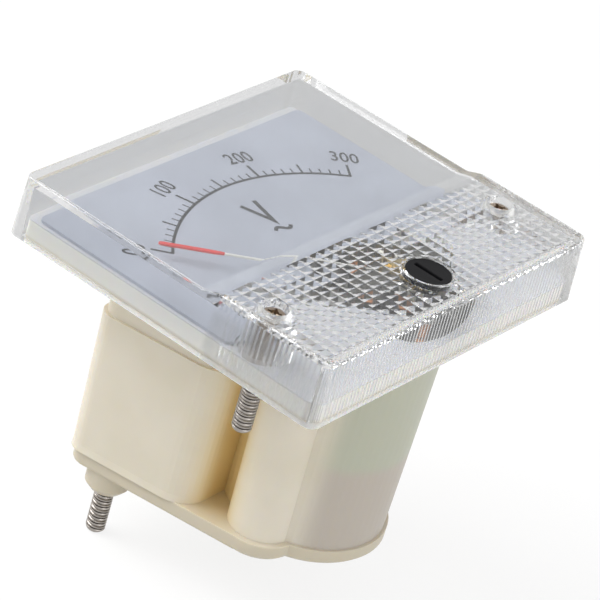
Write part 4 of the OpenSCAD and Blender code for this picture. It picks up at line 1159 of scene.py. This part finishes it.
class METER_OT_fasteners(bpy.types.Operator):
    """Threaded studs and cross-recessed screws."""

    bl_idname = "meter.fasteners"
    bl_label = "Studs and screws"

    def execute(self, context):
        thread = thread_tree()
        for side in ("left", "right"):
            self.mounting_stud(side, thread)
            self.terminal_stud(side, thread)
            self.cover_screw(side)
        return {"FINISHED"}

    def stud(self, node, name, thread, z1, upper):
        """Stud from a thread up to z1, its bevelled end and the profile of its upper part."""
        size = bpy.context.scene.meter_screws
        at, z0 = centre(node), span(node)[0].z
        rod = thread.grow("stud", finishes()["dark_steel"], Radius=M3_R, Depth=size.thread_depth,
                          Pitch=size.pitch, Length=z1 - z0 - THREAD_START)
        rod.data.transform(Matrix.Translation(Vector((*at, z0 + THREAD_START)) * MM))
        end = lathe("stud_end", at, [(0.0, z0), (1.0, z0), (1.32, z0 + 0.3), (1.34, z0 + 0.75),
                                     (0.0, z0 + 0.8)])
        stud = join(name, [rod, end, lathe("upper", at, upper)])
        smooth_by_angle(stud, 40)
        dress(stud, "dark_steel", [node])

    def mounting_stud(self, side, thread):
        """Stud with a flange and a head in the cover's foot."""
        node = "mounting_stud_" + side
        top = span(node)[1].z
        head = [(0.0, 0.0), (1.9, 0.0), (1.9, STUD_FLANGE_Z), (STUD_HEAD_R, STUD_FLANGE_Z),
                (STUD_HEAD_R, top - 0.1), (STUD_HEAD_R - 0.1, top), (0.0, top)]
        self.stud(node, "mounting_stud_thread_" + side, thread, 0.05, head)

    def terminal_stud(self, side, thread):
        """Stud with a core in the boss and a spigot under the solder tag."""
        node = "terminal_stud_" + side
        low, high = span(node)
        boss_z, top = low.z + TERMINAL_LENGTH, high.z
        core = [(0.0, boss_z), (1.75, boss_z), (1.75, top - 1.4), (1.0, top - 1.4),
                (1.0, top - 0.3), (1.2, top - 0.1), (0.0, top)]
        self.stud(node, "terminal_stud_thread_" + side, thread, boss_z + 0.1, core)

    def cover_screw(self, side):
        """Domed head with a cross recess and a pit in its middle."""
        node = "cover_screw_" + side
        at = centre(node)
        low, high = span(node)
        z = high.z
        head = lathe("cover_screw_head_" + side, at,
                     [(0.0, low.z), (1.0, low.z), (1.0, z - 1.2), (1.7, z - 1.2),
                      (1.75, z - 0.55), (1.55, z - 0.2), (1.1, z - 0.04), (0.0, z)])
        half_l, half_w = 1.05, 0.2
        corners = [(-half_l, -half_w), (half_l, -half_w), (half_l, half_w), (-half_l, half_w)]
        for angle in (0, 90):
            slot = prism_solid("slot", corners, z - 0.75, z + 1)
            turn = Matrix.Rotation(math.radians(SCREW_TURN[side] + angle), 4, "Z")
            slot.data.transform(Matrix.Translation(Vector((*at, 0)) * MM) @ turn)
            combine(head, slot, "DIFFERENCE")
        pit = lathe("pit", at, [(0.0, z - 1.1), (0.62, z - 0.5), (0.62, z + 1)], 24)
        combine(head, pit, "DIFFERENCE")
        smooth_by_angle(head, 30)
        dress(head, "brown_steel", [node])


class METER_OT_adjuster(bpy.types.Operator):
    """Black zero adjuster with its slot."""

    bl_idname = "meter.adjuster"
    bl_label = "Zero adjuster"

    def execute(self, context):
        knob = softened("zero_adjuster_knob", "zero_adjuster", 0.14, 3)
        dress(knob, "black_plastic", ["zero_adjuster"], "zero_adjuster")
        return {"FINISHED"}


class METER_OT_movement(bpy.types.Operator):
    """Rounded edges on the movement's larger parts."""

    bl_idname = "meter.movement"
    bl_label = "Movement"

    def execute(self, context):
        for node, slot, radius in (
                ("movement_frame", "frame_metal", 0.15), ("upper_bridge", "frame_metal", 0.12),
                ("lower_bridge", "frame_metal", 0.12), ("yoke_ring", "magnet", 0.2)):
            dress(softened(node + "_pressing", node, radius), slot, [node])
        return {"FINISHED"}


class METER_OT_finishes(bpy.types.Operator):
    """Materials of every frame part that shows."""

    bl_idname = "meter.finishes"
    bl_label = "Finishes"

    def execute(self, context):
        slots = {part["node"]: part["material_slot"] for part in frame["record"]["subparts"]}
        for name, node in frame["nodes"].items():
            if node.hide_render:
                continue
            node.data.materials.clear()
            node.data.materials.append(finishes()[slots[name]])
        return {"FINISHED"}


class METER_PT_panel(bpy.types.Panel):
    """Sidebar panel that lists the meter's steps."""

    bl_label = "Panel Meter"
    bl_idname = "METER_PT_panel"
    bl_space_type = "VIEW_3D"
    bl_region_type = "UI"
    bl_category = "Panel Meter"

    def draw(self, context):
        for operator in OPERATORS:
            self.layout.operator(operator.bl_idname)


OPERATORS = (METER_OT_stage, METER_OT_cover, METER_OT_housing, METER_OT_dial,
             METER_OT_fasteners, METER_OT_adjuster, METER_OT_movement, METER_OT_finishes)
SETTINGS = {
    "meter_cover": MeterCoverSettings,
    "meter_housing": MeterHousingSettings,
    "meter_dial": MeterDialSettings,
    "meter_screws": MeterScrewSettings,
    "meter_stage": MeterStageSettings,
}


def register():
    """Adds the settings, operators and panel."""
    for name, group in SETTINGS.items():
        bpy.utils.register_class(group)
        setattr(bpy.types.Scene, name, bpy.props.PointerProperty(type=group))
    for cls in (*OPERATORS, METER_PT_panel):
        bpy.utils.register_class(cls)


def unregister():
    """Takes them away again."""
    for cls in reversed((*OPERATORS, METER_PT_panel)):
        bpy.utils.unregister_class(cls)
    for name, group in SETTINGS.items():
        delattr(bpy.types.Scene, name)
        bpy.utils.unregister_class(group)


def main():
    """Builds the whole scene."""
    register()
    bpy.ops.meter.stage()
    bpy.ops.meter.cover()
    bpy.ops.meter.housing()
    bpy.ops.meter.dial()
    bpy.ops.meter.fasteners()
    bpy.ops.meter.adjuster()
    bpy.ops.meter.movement()
    bpy.ops.meter.finishes()


if __name__ == "__main__":
    main()
